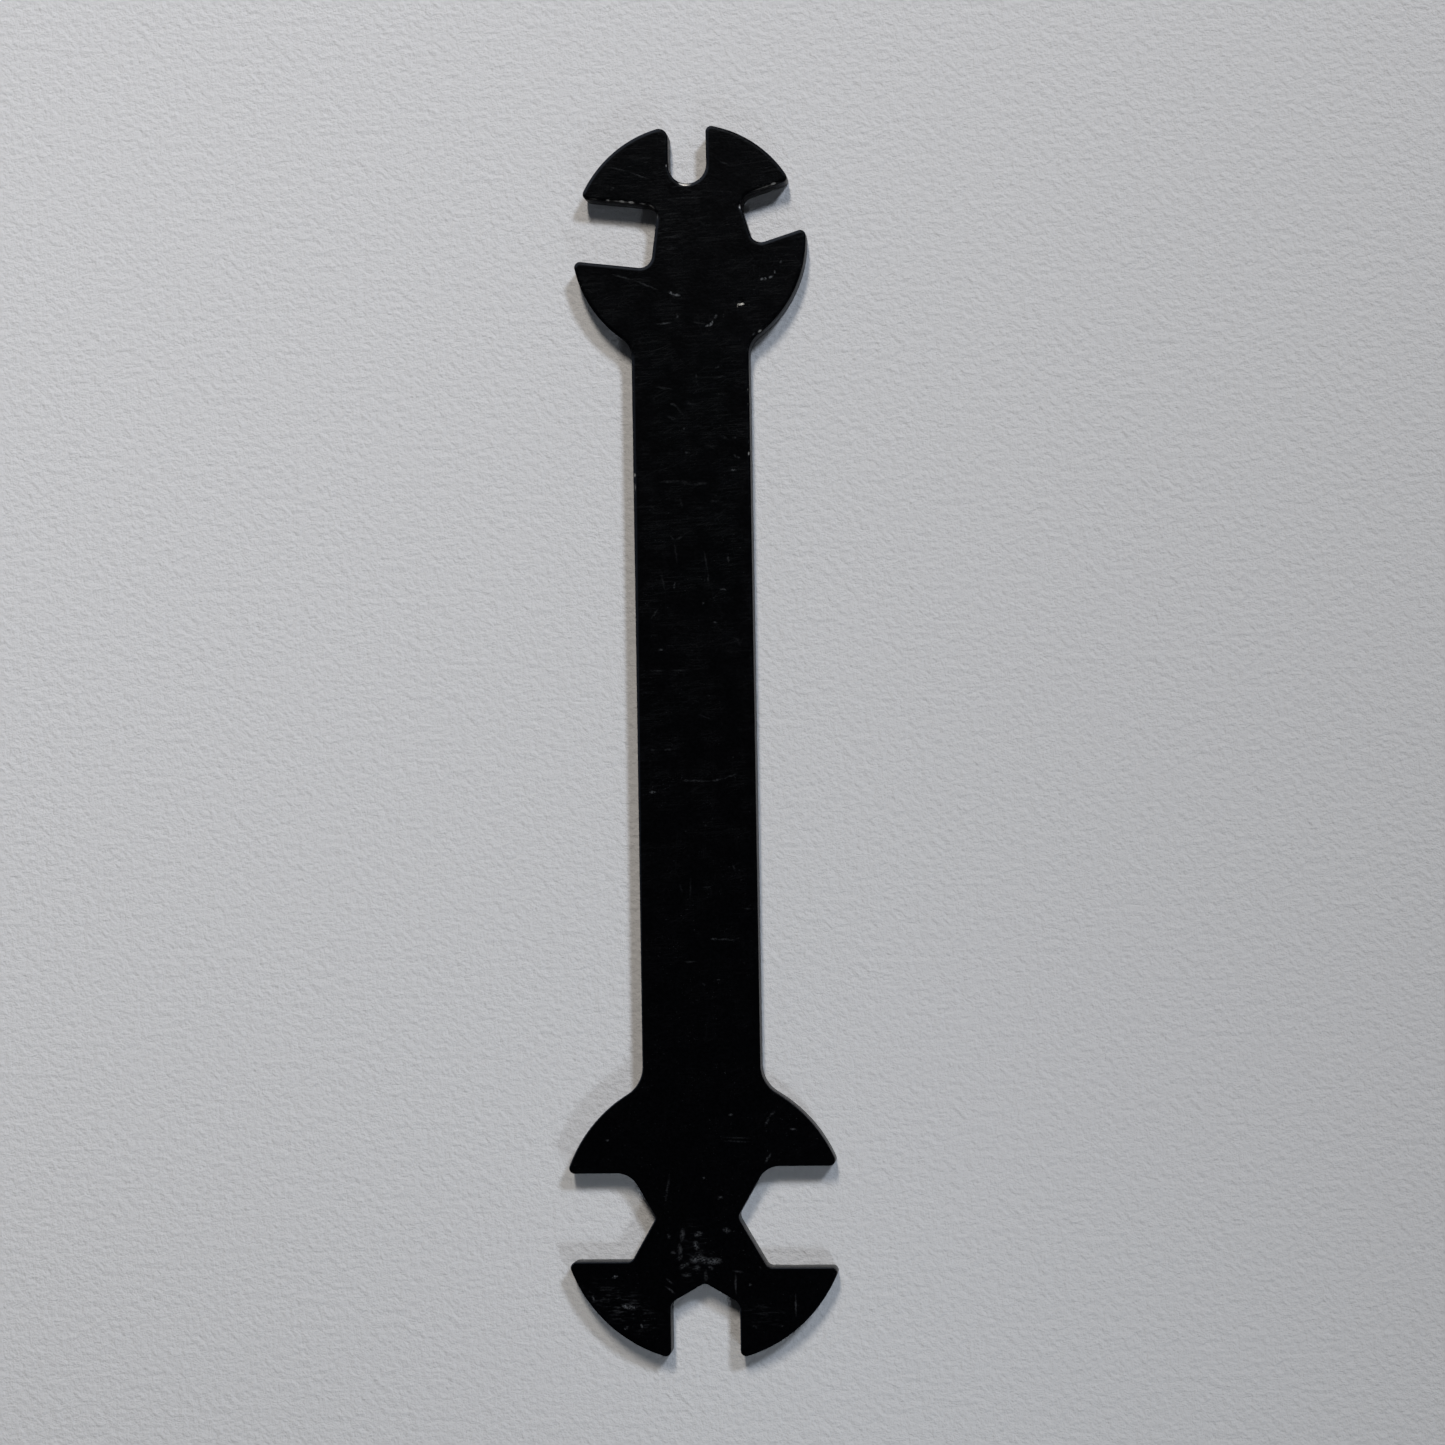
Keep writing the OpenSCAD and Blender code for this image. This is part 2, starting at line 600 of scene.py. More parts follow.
class Bench:
    """Where the nodes of one material or of the world are put together."""

    def __init__(self, tree: bpy.types.NodeTree) -> None:
        """Clears the tree and keeps it."""
        tree.nodes.clear()
        self.tree = tree

    def node(
        self,
        kind: str,
        settings: dict[str, object] | None = None,
        sockets: dict[int | str, object] | None = None,
        output: int | str = 0,
    ) -> Wire:
        """Adds a node, sets it up and then fills its sockets.

        Args:
            kind: Blender's name of the node's type.
            settings: values of the node itself, set first.
            sockets: a value or a wire for each named or numbered input.
            output: the output that is wanted.

        Returns:
            The wanted output, or the first input of a node without outputs.
        """
        made = self.tree.nodes.new(kind)
        for name, value in (settings or {}).items():
            setattr(made, name, value)
        for name, value in (sockets or {}).items():
            if isinstance(value, Wire):
                self.tree.links.new(value.socket, made.inputs[name])
            else:
                made.inputs[name].default_value = value
        return Wire(self, made.outputs[output] if made.outputs else made.inputs[0])

    def millimetres(self) -> Wire:
        """The piece's own coordinates in millimetres."""
        sockets = {0: self.node("ShaderNodeTexCoord", output="Object"), "Scale": 1.0 / MM}
        return self.node("ShaderNodeVectorMath", {"operation": "SCALE"}, sockets)

    def attribute(self, name: str) -> Wire:
        """A value that the mesh carries."""
        return self.node("ShaderNodeAttribute", {"attribute_name": name}, output="Fac")

    def part(self, place: Wire, axis: str) -> Wire:
        """One coordinate of a vector."""
        return self.node("ShaderNodeSeparateXYZ", {}, {0: place}, axis)

    def placed(self, place: Wire, middle: Place, size: Size, turn: float = 0.0) -> Wire:
        """Coordinates measured from a middle, along a turned direction, in units of a size.

        Args:
            place: the coordinates to start from.
            middle: the point that becomes the origin.
            size: the length that becomes 1 on each axis.
            turn: the turn about the upright axis, in degrees.

        Returns:
            The new coordinates.
        """
        rotation = (0.0, 0.0, math.radians(turn))
        sockets = {"Vector": place, "Location": middle, "Rotation": rotation, "Scale": size}
        return self.node("ShaderNodeMapping", {"vector_type": "TEXTURE"}, sockets)

    def noise(self, place: Wire, grain: Grain, output: str = "Fac") -> Wire:
        """A cloud of noise.

        Args:
            place: the coordinates.
            grain: its pattern.
            output: the value or the colour.

        Returns:
            The noise, about the middle of 0 and 1.
        """
        sockets = {
            "Vector": place,
            "Scale": grain.scale,
            "Detail": grain.detail,
            "Roughness": grain.roughness,
        }
        return self.node("ShaderNodeTexNoise", {}, sockets, output)

    def step(self, value: Wire, span: Point) -> Wire:
        """A soft step, upwards or downwards.

        Args:
            value: the value to step.
            span: where the step is 0, and where it is 1.

        Returns:
            The stepped value, from 0 to 1.
        """
        settings = {"interpolation_type": "SMOOTHSTEP", "clamp": True}
        sockets = {"Value": value, "From Min": span[0], "From Max": span[1]}
        return self.node("ShaderNodeMapRange", settings, sockets)

    def blend(self, share: Wire, first: "Wire | Colour", second: "Wire | Colour") -> Wire:
        """A colour between two others.

        Args:
            share: 0 for the first and 1 for the second.
            first: a colour or a wire.
            second: a colour or a wire.

        Returns:
            The mixed colour.
        """
        colours = [c if isinstance(c, Wire) else opaque(c) for c in (first, second)]
        sockets = {MIX_SHARE: share, MIX_FIRST: colours[0], MIX_SECOND: colours[1]}
        return self.node("ShaderNodeMix", {"data_type": "RGBA"}, sockets, MIX_RESULT)


@dataclass(frozen=True)
class Tone:
    """One state of a surface.

    Attributes:
        colour: its colour.
        roughness: how far its mirror is blurred, from 0 to 1.
    """

    colour: Colour
    roughness: float


class Skin:
    """A surface's colour and roughness while tones are laid over one another."""

    def __init__(self, bench: Bench, share: Wire, first: Tone, second: Tone) -> None:
        """Starts with two tones, mixed by a share.

        Args:
            bench: where the nodes go.
            share: 0 for the first tone and 1 for the second.
            first: the tone to start from.
            second: the tone that the share brings in.
        """
        self.bench = bench
        self.colour = bench.blend(share, first.colour, second.colour)
        self.roughness = first.roughness + share * (second.roughness - first.roughness)

    def cover(self, share: Wire, tone: Tone) -> None:
        """Lays a tone over what is there, as far as the share says."""
        self.colour = self.bench.blend(share, self.colour, tone.colour)
        self.roughness = self.roughness + share * (tone.roughness - self.roughness)


@dataclass(frozen=True)
class HairLines:
    """One family of fine scratches that all run about the same way.

    Attributes:
        length: length of a scratch.
        spacing: distance between two of them.
        turn: their direction in degrees from the crosswise line.
        spread: width of a scratch, as a share of the noise's range.
        share: how far they show, from 0 to 1.
        depth: thickness over which the pattern changes.
        grain: the noise on the stretched coordinates.
    """

    length: float
    spacing: float
    turn: float
    spread: float
    share: float
    depth: float = 3.0
    grain: Grain = Grain(scale=1.0, detail=1.0)

    def drawn(self, bench: Bench, place: Wire) -> Wire:
        """The scratches, where stretched noise passes its middle value.

        Args:
            bench: where the nodes go.
            place: coordinates in millimetres.

        Returns:
            The share on a scratch and 0 between scratches.
        """
        stretched = bench.placed(place, ORIGIN, (self.length, self.spacing, self.depth), self.turn)
        cloud = bench.noise(stretched, self.grain)
        return bench.step(abs(cloud - MIDDLE), (self.spread, 0.0)) * self.share


@dataclass(frozen=True)
class Relief:
    """Heights of the coat's fine relief.

    Attributes:
        grain: height of the coat's grain.
        hair: depth of a fine scratch.
        rub: depth of a rubbed place.
        chip: depth of a chip.
        drag: height of the streaks down a wall.
        tear: height of the torn zone's grain.
    """

    grain: float = 0.014
    hair: float = 0.008
    rub: float = 0.006
    chip: float = 0.012
    drag: float = 0.03
    tear: float = 0.05


@dataclass(frozen=True)
class BlackCoat:
    """The plate's finish: a thin black coat on steel, rubbed and chipped in use.

    Attributes:
        coat: the coat at its darkest.
        haze: the coat where it is dull.
        scuffed: the coat where it is rubbed.
        painted_sheen: a bluish painted sheen on the rims that face one side, standing in for light.
        sheared: the coat on the torn part of a wall.
        steel: the bare steel.
        shine: the coat's mirror strength.
        shine_tint: colour of the coat's mirror.
        wall_oil: how far a film of oil covers the walls, and how much further their torn part.
        oil_roughness: roughness of that film.
        grain: the coat's fine grain.
        patches: the patches in which the fine scratches show.
        wander: what bends the outline of a mark.
        flecks: the small bright flecks in a mark and between the marks.
        fleck_shape: how far the flecks are drawn out along each axis.
        dashes: size of the short crosswise scratches in a brushed place.
        chatter: what breaks up the wear along an edge.
        warp: how far a mark's outline is bent.
        hairs: the families of fine scratches.
        hair_share: how far the fine scratches grey the coat.
        hair_span: places along the wrench between which these scratches set in.
        drag: size of the streaks that run down a wall.
        torn_from: heights between which a wall turns from smooth to torn.
        torn_wave: how far the streaks move that border.
        dull: span of the grain over which the coat turns dull.
        close: span of the patches over which the scratches show.
        speckle: span of the flecks over which a mark is broken up.
        speckle_range: how far a mark shows between its flecks, and how much further on them.
        stray: span of the flecks over which one shows outside the marks.
        stray_share: how far these stray flecks grey the coat.
        dashed: span of the noise over which one of these scratches shows.
        rubbed_through: span of a chip's value over which the steel shows.
        painted_sheen_share: how far that painted sheen shows.
        crest_lift: what is added to the chatter on a crest.
        edge_worn: span of a crest's value over which it is greyed.
        edge_bare: span of a nick's value over which the steel shows.
        edge_share: how far a worn crest is greyed.
        relief: the heights of the fine relief.
    """

    coat: Tone = Tone((0.0001, 0.0001, 0.0002), 0.30)
    haze: Tone = Tone((0.0003, 0.0003, 0.0005), 0.36)
    scuffed: Tone = Tone((0.058, 0.061, 0.067), 0.50)
    # Painted sheen: a bluish tone on rims that face one side, standing in for light from there.
    painted_sheen: Tone = Tone((0.052, 0.060, 0.080), 0.42)
    sheared: Tone = Tone((0.030, 0.029, 0.028), 0.50)
    steel: Tone = Tone((0.20, 0.198, 0.195), 0.42)
    shine: float = 0.023
    shine_tint: Colour = (0.78, 0.86, 1.0)
    wall_oil: Point = (0.06, 0.32)
    oil_roughness: float = 0.22
    grain: Grain = Grain(scale=4.2, detail=3.0, roughness=0.6)
    patches: Grain = Grain(scale=0.5, detail=3.0, roughness=0.55)
    wander: Grain = Grain(scale=4.0, detail=3.0, roughness=0.6)
    flecks: Grain = Grain(scale=9.0, detail=1.0)
    fleck_shape: Size = (1.3, 1.0, 1.0)
    dashes: Size = (0.8, 0.16, 1.0)
    chatter: Grain = Grain(scale=3.5, detail=4.0, roughness=0.65)
    warp: float = 0.2
    hairs: tuple[HairLines, ...] = (
        HairLines(length=5.0, spacing=0.16, turn=2.0, spread=0.035, share=0.5),
        HairLines(length=4.0, spacing=0.5, turn=24.0, spread=0.012, share=0.8),
        HairLines(length=5.0, spacing=0.7, turn=83.0, spread=0.010, share=0.6),
    )
    hair_share: float = 0.065
    hair_span: Point = (-58.0, 35.0)
    drag: Size = (0.11, 0.11, 2.2)
    torn_from: Point = (1.25, 0.85)
    torn_wave: float = 0.9
    dull: Point = (0.36, 0.68)
    close: Point = (0.36, 0.62)
    speckle: Point = (0.40, 0.58)
    speckle_range: Point = (0.15, 1.35)
    stray: Point = (0.70, 0.82)
    stray_share: float = 0.22
    dashed: Point = (0.52, 0.66)
    rubbed_through: Point = (0.30, 0.55)
    painted_sheen_share: float = 0.26
    crest_lift: float = 0.25
    edge_worn: Point = (0.78, 1.0)
    edge_bare: Point = (0.15, 0.75)
    edge_share: float = 0.2
    relief: Relief = Relief()

    def bent(self, bench: Bench, place: Wire) -> Wire:
        """Coordinates that wander sideways, so that a mark's outline isn't a clean ellipse.

        Each coordinate moves by the warp times a noise of its own less that noise's mean.

        Args:
            bench: where the nodes go.
            place: coordinates in millimetres.

        Returns:
            The moved coordinates.
        """
        cloud = bench.noise(place, self.wander, "Color")
        mean = (MIDDLE, MIDDLE, MIDDLE)
        aside = bench.node("ShaderNodeVectorMath", {"operation": "SUBTRACT"}, {0: cloud, 1: mean})
        sockets = {0: aside, 1: (self.warp, self.warp, 0.0), 2: place}
        return bench.node("ShaderNodeVectorMath", {"operation": "MULTIPLY_ADD"}, sockets)

    def marked(self, bench: Bench, place: Wire, marks: list[Mark], plate_t: float) -> Wire | float:
        """How far any of the marks is reached, from 0 outside to its strength in its middle.

        A leg of a mark is one less the distance from its middle, in halves of its length and width.

        Args:
            bench: where the nodes go.
            place: coordinates in millimetres.
            marks: the marks of one kind.
            plate_t: thickness of the plate.

        Returns:
            The largest of the marks' values.
        """
        reached = 0.0
        ball = {"gradient_type": "SPHERICAL"}
        for mark in marks:
            height = plate_t if mark.face is Face.UPPER else 0.0
            for x, y, length, turn in mark.legs():
                size = ((length + mark.width) / 2, mark.width / 2, plate_t / 2)
                leg = {"Vector": bench.placed(place, (x, y, height), size, turn)}
                near = bench.node("ShaderNodeTexGradient", ball, leg, "Fac")
                reached = near * mark.strength | reached
        return reached

    def material(self, marks: tuple[Mark, ...], plate_t: float) -> bpy.types.Material:
        """Builds the coat for the faces, the rolled edges and the walls.

        Args:
            marks: the worn places on the faces.
            plate_t: thickness of the plate.

        Returns:
            The material.
        """
        made = bpy.data.materials.new("worn_black_coat")
        made.use_nodes = True
        bench = Bench(made.node_tree)
        place = bench.millimetres()
        carried = ("wall", "crest", "rim", "bare")
        wall, crest, rim, bare = (bench.attribute(name) for name in carried)
        bent = self.bent(bench, place)
        hair, scuff, brush, chip = (
            self.marked(bench, bent, [m for m in marks if m.wear is wear], plate_t) for wear in Wear
        )

        grain = bench.noise(place, self.grain)
        fine = 0.0
        for family in self.hairs:
            fine = family.drawn(bench, place) | fine
        close = bench.step(bench.noise(place, self.patches), self.close)
        fine = fine * close * bench.step(bench.part(place, "Y"), self.hair_span)
        flecks = bench.noise(bench.placed(place, ORIGIN, self.fleck_shape), self.flecks)
        broken = bench.step(flecks, self.speckle) * self.speckle_range[1] + self.speckle_range[0]
        stray = bench.step(flecks, self.stray) * close * self.stray_share
        dashes = bench.noise(bench.placed(place, ORIGIN, self.dashes), STRETCHED)
        brushed = bench.step(dashes, self.dashed) * brush * (broken + MIDDLE)
        rubbed = scuff * broken | hair * (broken + MIDDLE) | brushed | stray
        chipped = bench.step(chip * broken, self.rubbed_through)

        chatter = bench.noise(place, self.chatter)
        worn_crest = bench.step(crest * (chatter + self.crest_lift), self.edge_worn)
        worn_crest = worn_crest * self.edge_share
        # Painted sheen on the rims that face one side, broken up by the chatter.
        rim_sheen_mask = rim * (chatter + MIDDLE) * self.painted_sheen_share
        shining = bench.step(bare * (chatter + MIDDLE), self.edge_bare) | chipped
        drag = bench.noise(bench.placed(place, ORIGIN, self.drag), STRETCHED)
        border = bench.part(place, "Z") + (drag - MIDDLE) * self.torn_wave
        torn = bench.step(border, self.torn_from) * wall

        skin = Skin(bench, bench.step(grain, self.dull), self.coat, self.haze)
        skin.cover(torn, self.sheared)
        # Lays the painted sheen over the rims.
        skin.cover(rim_sheen_mask, self.painted_sheen)
        skin.cover(rubbed | worn_crest | fine * self.hair_share, self.scuffed)
        skin.cover(shining, self.steel)

        height = (grain - MIDDLE) * (self.relief.grain + torn * self.relief.tear)
        height = height + (drag - MIDDLE) * wall * self.relief.drag
        height = height - fine * self.relief.hair - rubbed * self.relief.rub
        height = height - chipped * self.relief.chip
        normal = bench.node("ShaderNodeBump", {}, {"Height": height, "Distance": MM})
        sockets = {
            "Base Color": skin.colour,
            "Roughness": skin.roughness,
            "Metallic": shining,
            "Normal": normal,
            "Specular IOR Level": self.shine,
            "Specular Tint": opaque(self.shine_tint),
            "Coat Weight": wall * self.wall_oil[0] + torn * self.wall_oil[1],
            "Coat Roughness": self.oil_roughness,
        }
        surface = bench.node("ShaderNodeBsdfPrincipled", {}, sockets)
        bench.node("ShaderNodeOutputMaterial", {}, {"Surface": surface})
        return made


@dataclass
class WrenchPlate:
    """The whole wrench: two heads on a shank, stamped from one plate.

    Attributes:
        body: CAD body that it rides on.
        slot: material slot of the record; not used.
        shank_w: width of the shank.
        small: the head with the small jaws.
        large: the head with the large jaws.
        edge: section of the plate's edge.
        finish: the plate's coat.
        nicks: knocks along the upper edge.
        dents: knocks in the upper face.
        marks: worn places on the faces.
        least_roll: how far the upper edge is rolled at the large head.
        roll_span: places along the wrench between which it gets fully rolled.
        sheen_turn: side that the rims with the painted sheen face, in degrees from +X towards +Y.
        sheen_span: cosines from that side between which the painted sheen sets in.
        bare_power: how narrow the bare line along a nick is.
        wave: depth of the edge's unevenness.
        wave_counts: fewest and most waves of it along the outline.
        tear: depth of the torn zone's unevenness.
        tear_counts: fewest and most waves of that along the outline.
        sag: depth of the faces' unevenness.
        sag_lengths: shortest and longest of its waves.
        sag_waves: how many waves it is made of.
        sag_fade: distances from the edge over which it sets in.
        pitch: distance between the faces' inner points.
        inner_margins: how far these stay from the rolled edge, in margins of the edge.
        batch: how many of them are measured at once.
        dent_rings: radii of the rings of points round a dent, in units of its own.
        dent_turns: points on each of these rings.
        dent_gap: how far other points stay from them, as a share of the pitch.
        seed: start of the random draws.
        outline: points along the plate's outline.
        normals: outward direction at each of these points.
        draw: the random draws.
    """

    body: str
    slot: str
    shank_w: float
    small: Head
    large: Head
    edge: EdgeProfile
    finish: BlackCoat
    nicks: tuple[Nick, ...]
    dents: tuple[Dent, ...]
    marks: tuple[Mark, ...]
    least_roll: float = 0.35
    roll_span: Point = (-30.0, 20.0)
    sheen_turn: float = 130.0
    sheen_span: Point = (0.4, 0.9)
    bare_power: float = 3.0
    wave: float = 0.008
    wave_counts: tuple[int, int] = (4, 160)
    tear: float = 0.035
    tear_counts: tuple[int, int] = (30, 900)
    sag: float = 0.012
    sag_lengths: Point = (5.0, 16.0)
    sag_waves: int = 9
    sag_fade: Point = (0.4, 2.0)
    pitch: float = 0.55
    inner_margins: float = 3.0
    batch: int = 200
    dent_rings: tuple[float, ...] = (0.3, 0.6, 0.85, 1.0, 1.25)
    dent_turns: int = 14
    dent_gap: float = 0.25
    seed: int = 7
    outline: np.ndarray = field(init=False)
    normals: np.ndarray = field(init=False)
    draw: np.random.Generator = field(init=False)

    def __post_init__(self) -> None:
        """Samples the outline and starts the random draws."""
        arcs = np.vstack([self.small.arcs(self.shank_w), self.large.arcs(self.shank_w)])
        self.outline, self.normals = Outline(arcs).sample()
        self.draw = np.random.default_rng(self.seed)

    def ripple(self, rows: int, counts: tuple[int, int]) -> np.ndarray:
        """Uneven heights along the outline, from 0 to 1.

        Random values keep only those waves that fit the closed outline a whole number of times, from
        the fewest to the most, so that the ends meet.

        Args:
            rows: how many independent rows are wanted.
            counts: fewest and most waves along the outline.

        Returns:
            The rows, with a value per point of the outline.
        """
        count = len(self.outline)
        waves = np.fft.rfft(self.draw.normal(size=(rows, count)), axis=1)
        number = np.arange(waves.shape[1])
        waves[:, (number < counts[0]) | (number > counts[1])] = 0.0
        made = np.fft.irfft(waves, n=count, axis=1)
        low, high = made.min(axis=1, keepdims=True), made.max(axis=1, keepdims=True)
        return (made - low) / (high - low)

    def nicked(self) -> tuple[np.ndarray, np.ndarray]:
        """How deep the nicks cut the edge, and how far they bare it.

        A nick fades along the edge as e to the power of less its distance over its reach, squared.

        Returns:
            Depth and shine per point of the outline.
        """
        rows = [[n.x, n.y, n.reach, n.depth, n.shine] for n in self.nicks]
        x, y, reach, depth, shine = np.array(rows).T
        apart = np.linalg.norm(self.outline[:, None] - np.stack([x, y], 1), axis=2)
        near = np.exp(-((apart / reach) ** 2))
        return (near * depth).max(axis=1), (near * shine).max(axis=1)

    def skirt(self) -> tuple[np.ndarray, dict[str, np.ndarray]]:
        """The edge and the walls: the section carried along the outline.

        A point is the outline's point, moved into the steel by the ring's inset, the edge's ripple,
        the torn zone's ripple and the nick there, at the ring's height less half the nick. A nick is
        deepest on the crest of the upper edge. The upper edge is fully rolled at the small head and
        sharper towards the large one. The rim carries a painted sheen, which stands in for light from
        one side, as far as the outline faces that side.

        Returns:
            The points by ring and place along the outline, and the values that the material reads.
        """
        rings = self.edge.rings()
        depth, shine = self.nicked()
        knocked = rings.upper[:, None] * depth
        ripple = self.wave * self.ripple(1, self.wave_counts)
        tears = self.tear * self.ripple(len(rings.inset), self.tear_counts) * rings.torn[:, None]
        along = smooth(self.outline[:, 1], *self.roll_span)
        rolled = self.least_roll + (1.0 - self.least_roll) * along
        inset = rings.inset[:, None] + rings.roll_in[:, None] * rolled + ripple + tears + knocked
        flat = self.outline - inset[:, :, None] * self.normals
        height = rings.height[:, None] - rings.roll_down[:, None] * rolled - knocked / 2
        # Painted sheen: the rim's bluish tone, standing in for light from one side, grows as the
        # outline faces that side.
        turn = math.radians(self.sheen_turn)
        rubbed = smooth(self.normals @ np.array([math.cos(turn), math.sin(turn)]), *self.sheen_span)
        carried = {
            "crest": rings.crest[:, None] * rolled,
            "rim": rings.upper[:, None] * rubbed,
            "wall": rings.wall[:, None] * np.ones_like(rolled),
            "bare": (rings.upper ** self.bare_power)[:, None] * shine,
        }
        return np.concatenate([flat, height[:, :, None]], axis=2), carried

    def inside(self, points: np.ndarray) -> np.ndarray:
        """How far points lie inside the outline: the way to the nearest point, against its normal.

        Args:
            points: rows of x and y.

        Returns:
            The distances, below 0 outside.
        """
        way = points[:, None] - self.outline
        nearest = (way * way).sum(axis=2).argmin(axis=1)
        short = way[np.arange(len(points)), nearest]
        along = -(short * self.normals[nearest]).sum(axis=1)
        return np.sign(along) * np.hypot(short[:, 0], short[:, 1])

    def inner_points(self) -> tuple[np.ndarray, np.ndarray]:
        """Points spread over a face, inside the rings, and their distance from the outline.

        They are rows of a triangle grid, with every second row moved by half a step, and rings of
        points round each dent.

        Returns:
            The points and the distances.
        """
        low, high = self.outline.min(axis=0), self.outline.max(axis=0)
        rows = np.arange(low[1], high[1], self.pitch * TRIANGLE_RISE)
        columns = np.arange(low[0], high[0], self.pitch)
        x = columns + self.pitch / 2 * (np.arange(len(rows)) % 2)[:, None]
        y = np.broadcast_to(rows[:, None], x.shape)
        spread = np.stack([x.ravel(), y.ravel()], 1)
        middle = np.array([[d.x, d.y] for d in self.dents])
        radius = np.array([d.radius for d in self.dents])
        shares = np.array(self.dent_rings)
        clearance = radius * shares[-1] + self.pitch * self.dent_gap
        clear = (np.linalg.norm(spread[:, None] - middle, axis=2) > clearance).all(axis=1)
        turns = np.linspace(0.0, FULL_TURN, self.dent_turns, endpoint=False)
        circle = shares[:, None, None] * np.stack([np.cos(turns), np.sin(turns)], 1)
        round_dents = middle[:, None, None] + radius[:, None, None, None] * circle
        points = np.vstack([spread[clear], middle, round_dents.reshape(-1, 2)])
        parts = np.array_split(points, math.ceil(len(points) / self.batch))
        depth = np.concatenate([self.inside(part) for part in parts])
        kept = depth > self.edge.roll_w + self.inner_margins * self.edge.margin
        return points[kept], depth[kept]

    def face_height(self, points: np.ndarray, depth: np.ndarray) -> np.ndarray:
        """How far a face lies inside its plane, from slow waves that die out at the edge.

        The waves are cosines along drawn directions. Half of one plus their mean is the share of the
        sag that is reached.

        Args:
            points: rows of x and y.
            depth: distance of each from the outline.

        Returns:
            The depths.
        """
        turns = self.draw.uniform(0.0, FULL_TURN, self.sag_waves)
        lengths = self.draw.uniform(*self.sag_lengths, self.sag_waves)
        phases = self.draw.uniform(0.0, FULL_TURN, self.sag_waves)
        run = points[:, :1] * np.cos(turns) + points[:, 1:] * np.sin(turns)
        waves = np.cos(FULL_TURN * run / lengths + phases).mean(axis=1)
        return self.sag * (1.0 + waves) / 2 * smooth(depth, *self.sag_fade)

    def dented(self, points: np.ndarray) -> np.ndarray:
        """How deep the dents are: a soft step from the rim down to the innermost ring of points.

        Args:
            points: rows of x and y.

        Returns:
            The depths.
        """
        x, y, radius, deep = np.array([[d.x, d.y, d.radius, d.depth] for d in self.dents]).T
        apart = np.linalg.norm(points[:, None] - np.stack([x, y], 1), axis=2) / radius
        return (deep * smooth(apart, 1.0, self.dent_rings[0])).max(axis=1)

    def filled(self, ring: np.ndarray, inner: np.ndarray) -> np.ndarray:
        """Triangles between a closed ring and the points inside it.

        Args:
            ring: the ring's points in order.
            inner: the points inside.

        Returns:
            Rows of three numbers, which count the ring first and then the inner points.
        """
        here = np.arange(len(ring))
        edges = np.stack([here, np.roll(here, -1)], 1).tolist()
        points = [Vector(point) for point in np.vstack([ring, inner]).tolist()]
        _, _, triangles, *_ = delaunay_2d_cdt(points, edges, [], INSIDE_ONLY, TOUCHING)
        return np.array(triangles)

    def build(self) -> bpy.types.Object:
        """Makes the plate's mesh from its skirt and its two faces.

        Returns:
            The finished piece, on its body and in its coat.
        """
        skirt, carried = self.skirt()
        ring_count, place_count = skirt.shape[:2]
        inner, depth = self.inner_points()
        top_z = self.edge.plate_t - self.face_height(inner, depth) - self.dented(inner)
        low_z = self.face_height(inner, depth)
        side = skirt.reshape(-1, 3)
        points = np.vstack([side, np.column_stack([inner, top_z]), np.column_stack([inner, low_z])])

        here = np.arange(place_count)
        after = np.roll(here, -1)
        first = np.arange(ring_count - 1)[:, None] * place_count
        below = first + place_count
        quads = np.stack([first + here, below + here, below + after, first + after], 2)
        last_ring = len(side) - place_count
        top = self.filled(skirt[0, :, :2], inner)
        top = np.where(top < place_count, top, top + last_ring)
        low = self.filled(skirt[-1, :, :2], inner)[:, ::-1] + last_ring
        low = np.where(low < len(side), low, low + len(inner))

        mesh = bpy.data.meshes.new(NODE)
        faces = quads.reshape(-1, 4).tolist() + top.tolist() + low.tolist()
        mesh.from_pydata((points * MM).tolist(), [], faces)
        mesh.update()
        for name, values in carried.items():
            padded = np.zeros(len(points), np.float32)
            padded[: values.size] = values.ravel()
            mesh.attributes.new(name, "FLOAT", "POINT").data.foreach_set("value", padded)
        mesh.shade_smooth()
        piece = bpy.data.objects.new(NODE + "_worn", mesh)
        bpy.context.scene.collection.objects.link(piece)
        self.dress(piece)
        return piece

    def dress(self, piece: bpy.types.Object) -> None:
        """Gives the plate its coat and ties it to the frame.

        Args:
            piece: the plate.
        """
        piece.data.materials.append(self.finish.material(self.marks, self.edge.plate_t))
        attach(piece, self.body)
        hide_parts(NODE)


@dataclass(frozen=True)
class Lamp:
    """An oval soft light that shines on a point of the floor.

    Attributes:
        name: what it is called.
        azimuth: where it stands from that point, in degrees from +X towards +Y.
        elevation: how high it stands, in degrees.
        distance: how far away it stands.
        across: its width.
        tall: its height.
        power: its strength in watts.
        colour: its tint.
        aim: the point that it shines on.
        spread: full angle of its beam, in degrees.
    """

    name: str
    azimuth: float
    elevation: float
    distance: float
    across: float
    tall: float
    power: float
    colour: Colour
    aim: Place = ORIGIN
    spread: float = 180.0

    def build(self) -> bpy.types.Object:
        """Puts the lamp in place.

        Returns:
            The lamp.
        """
        data = bpy.data.lights.new(self.name, "AREA")
        data.shape = "ELLIPSE"
        data.size = self.across * MM
        data.size_y = self.tall * MM
        data.spread = math.radians(self.spread)
        data.energy = self.power
        data.color = self.colour
        lamp = bpy.data.objects.new(self.name, data)
        a, e = math.radians(self.azimuth), math.radians(self.elevation)
        towards = Vector((math.cos(a) * math.cos(e), math.sin(a) * math.cos(e), math.sin(e)))
        lamp.location = (Vector(self.aim) + towards * self.distance) * MM
        lamp.rotation_euler = towards.to_track_quat("Z", "Y").to_euler()
        lamp.visible_camera = False
        bpy.context.scene.collection.objects.link(lamp)
        return lamp


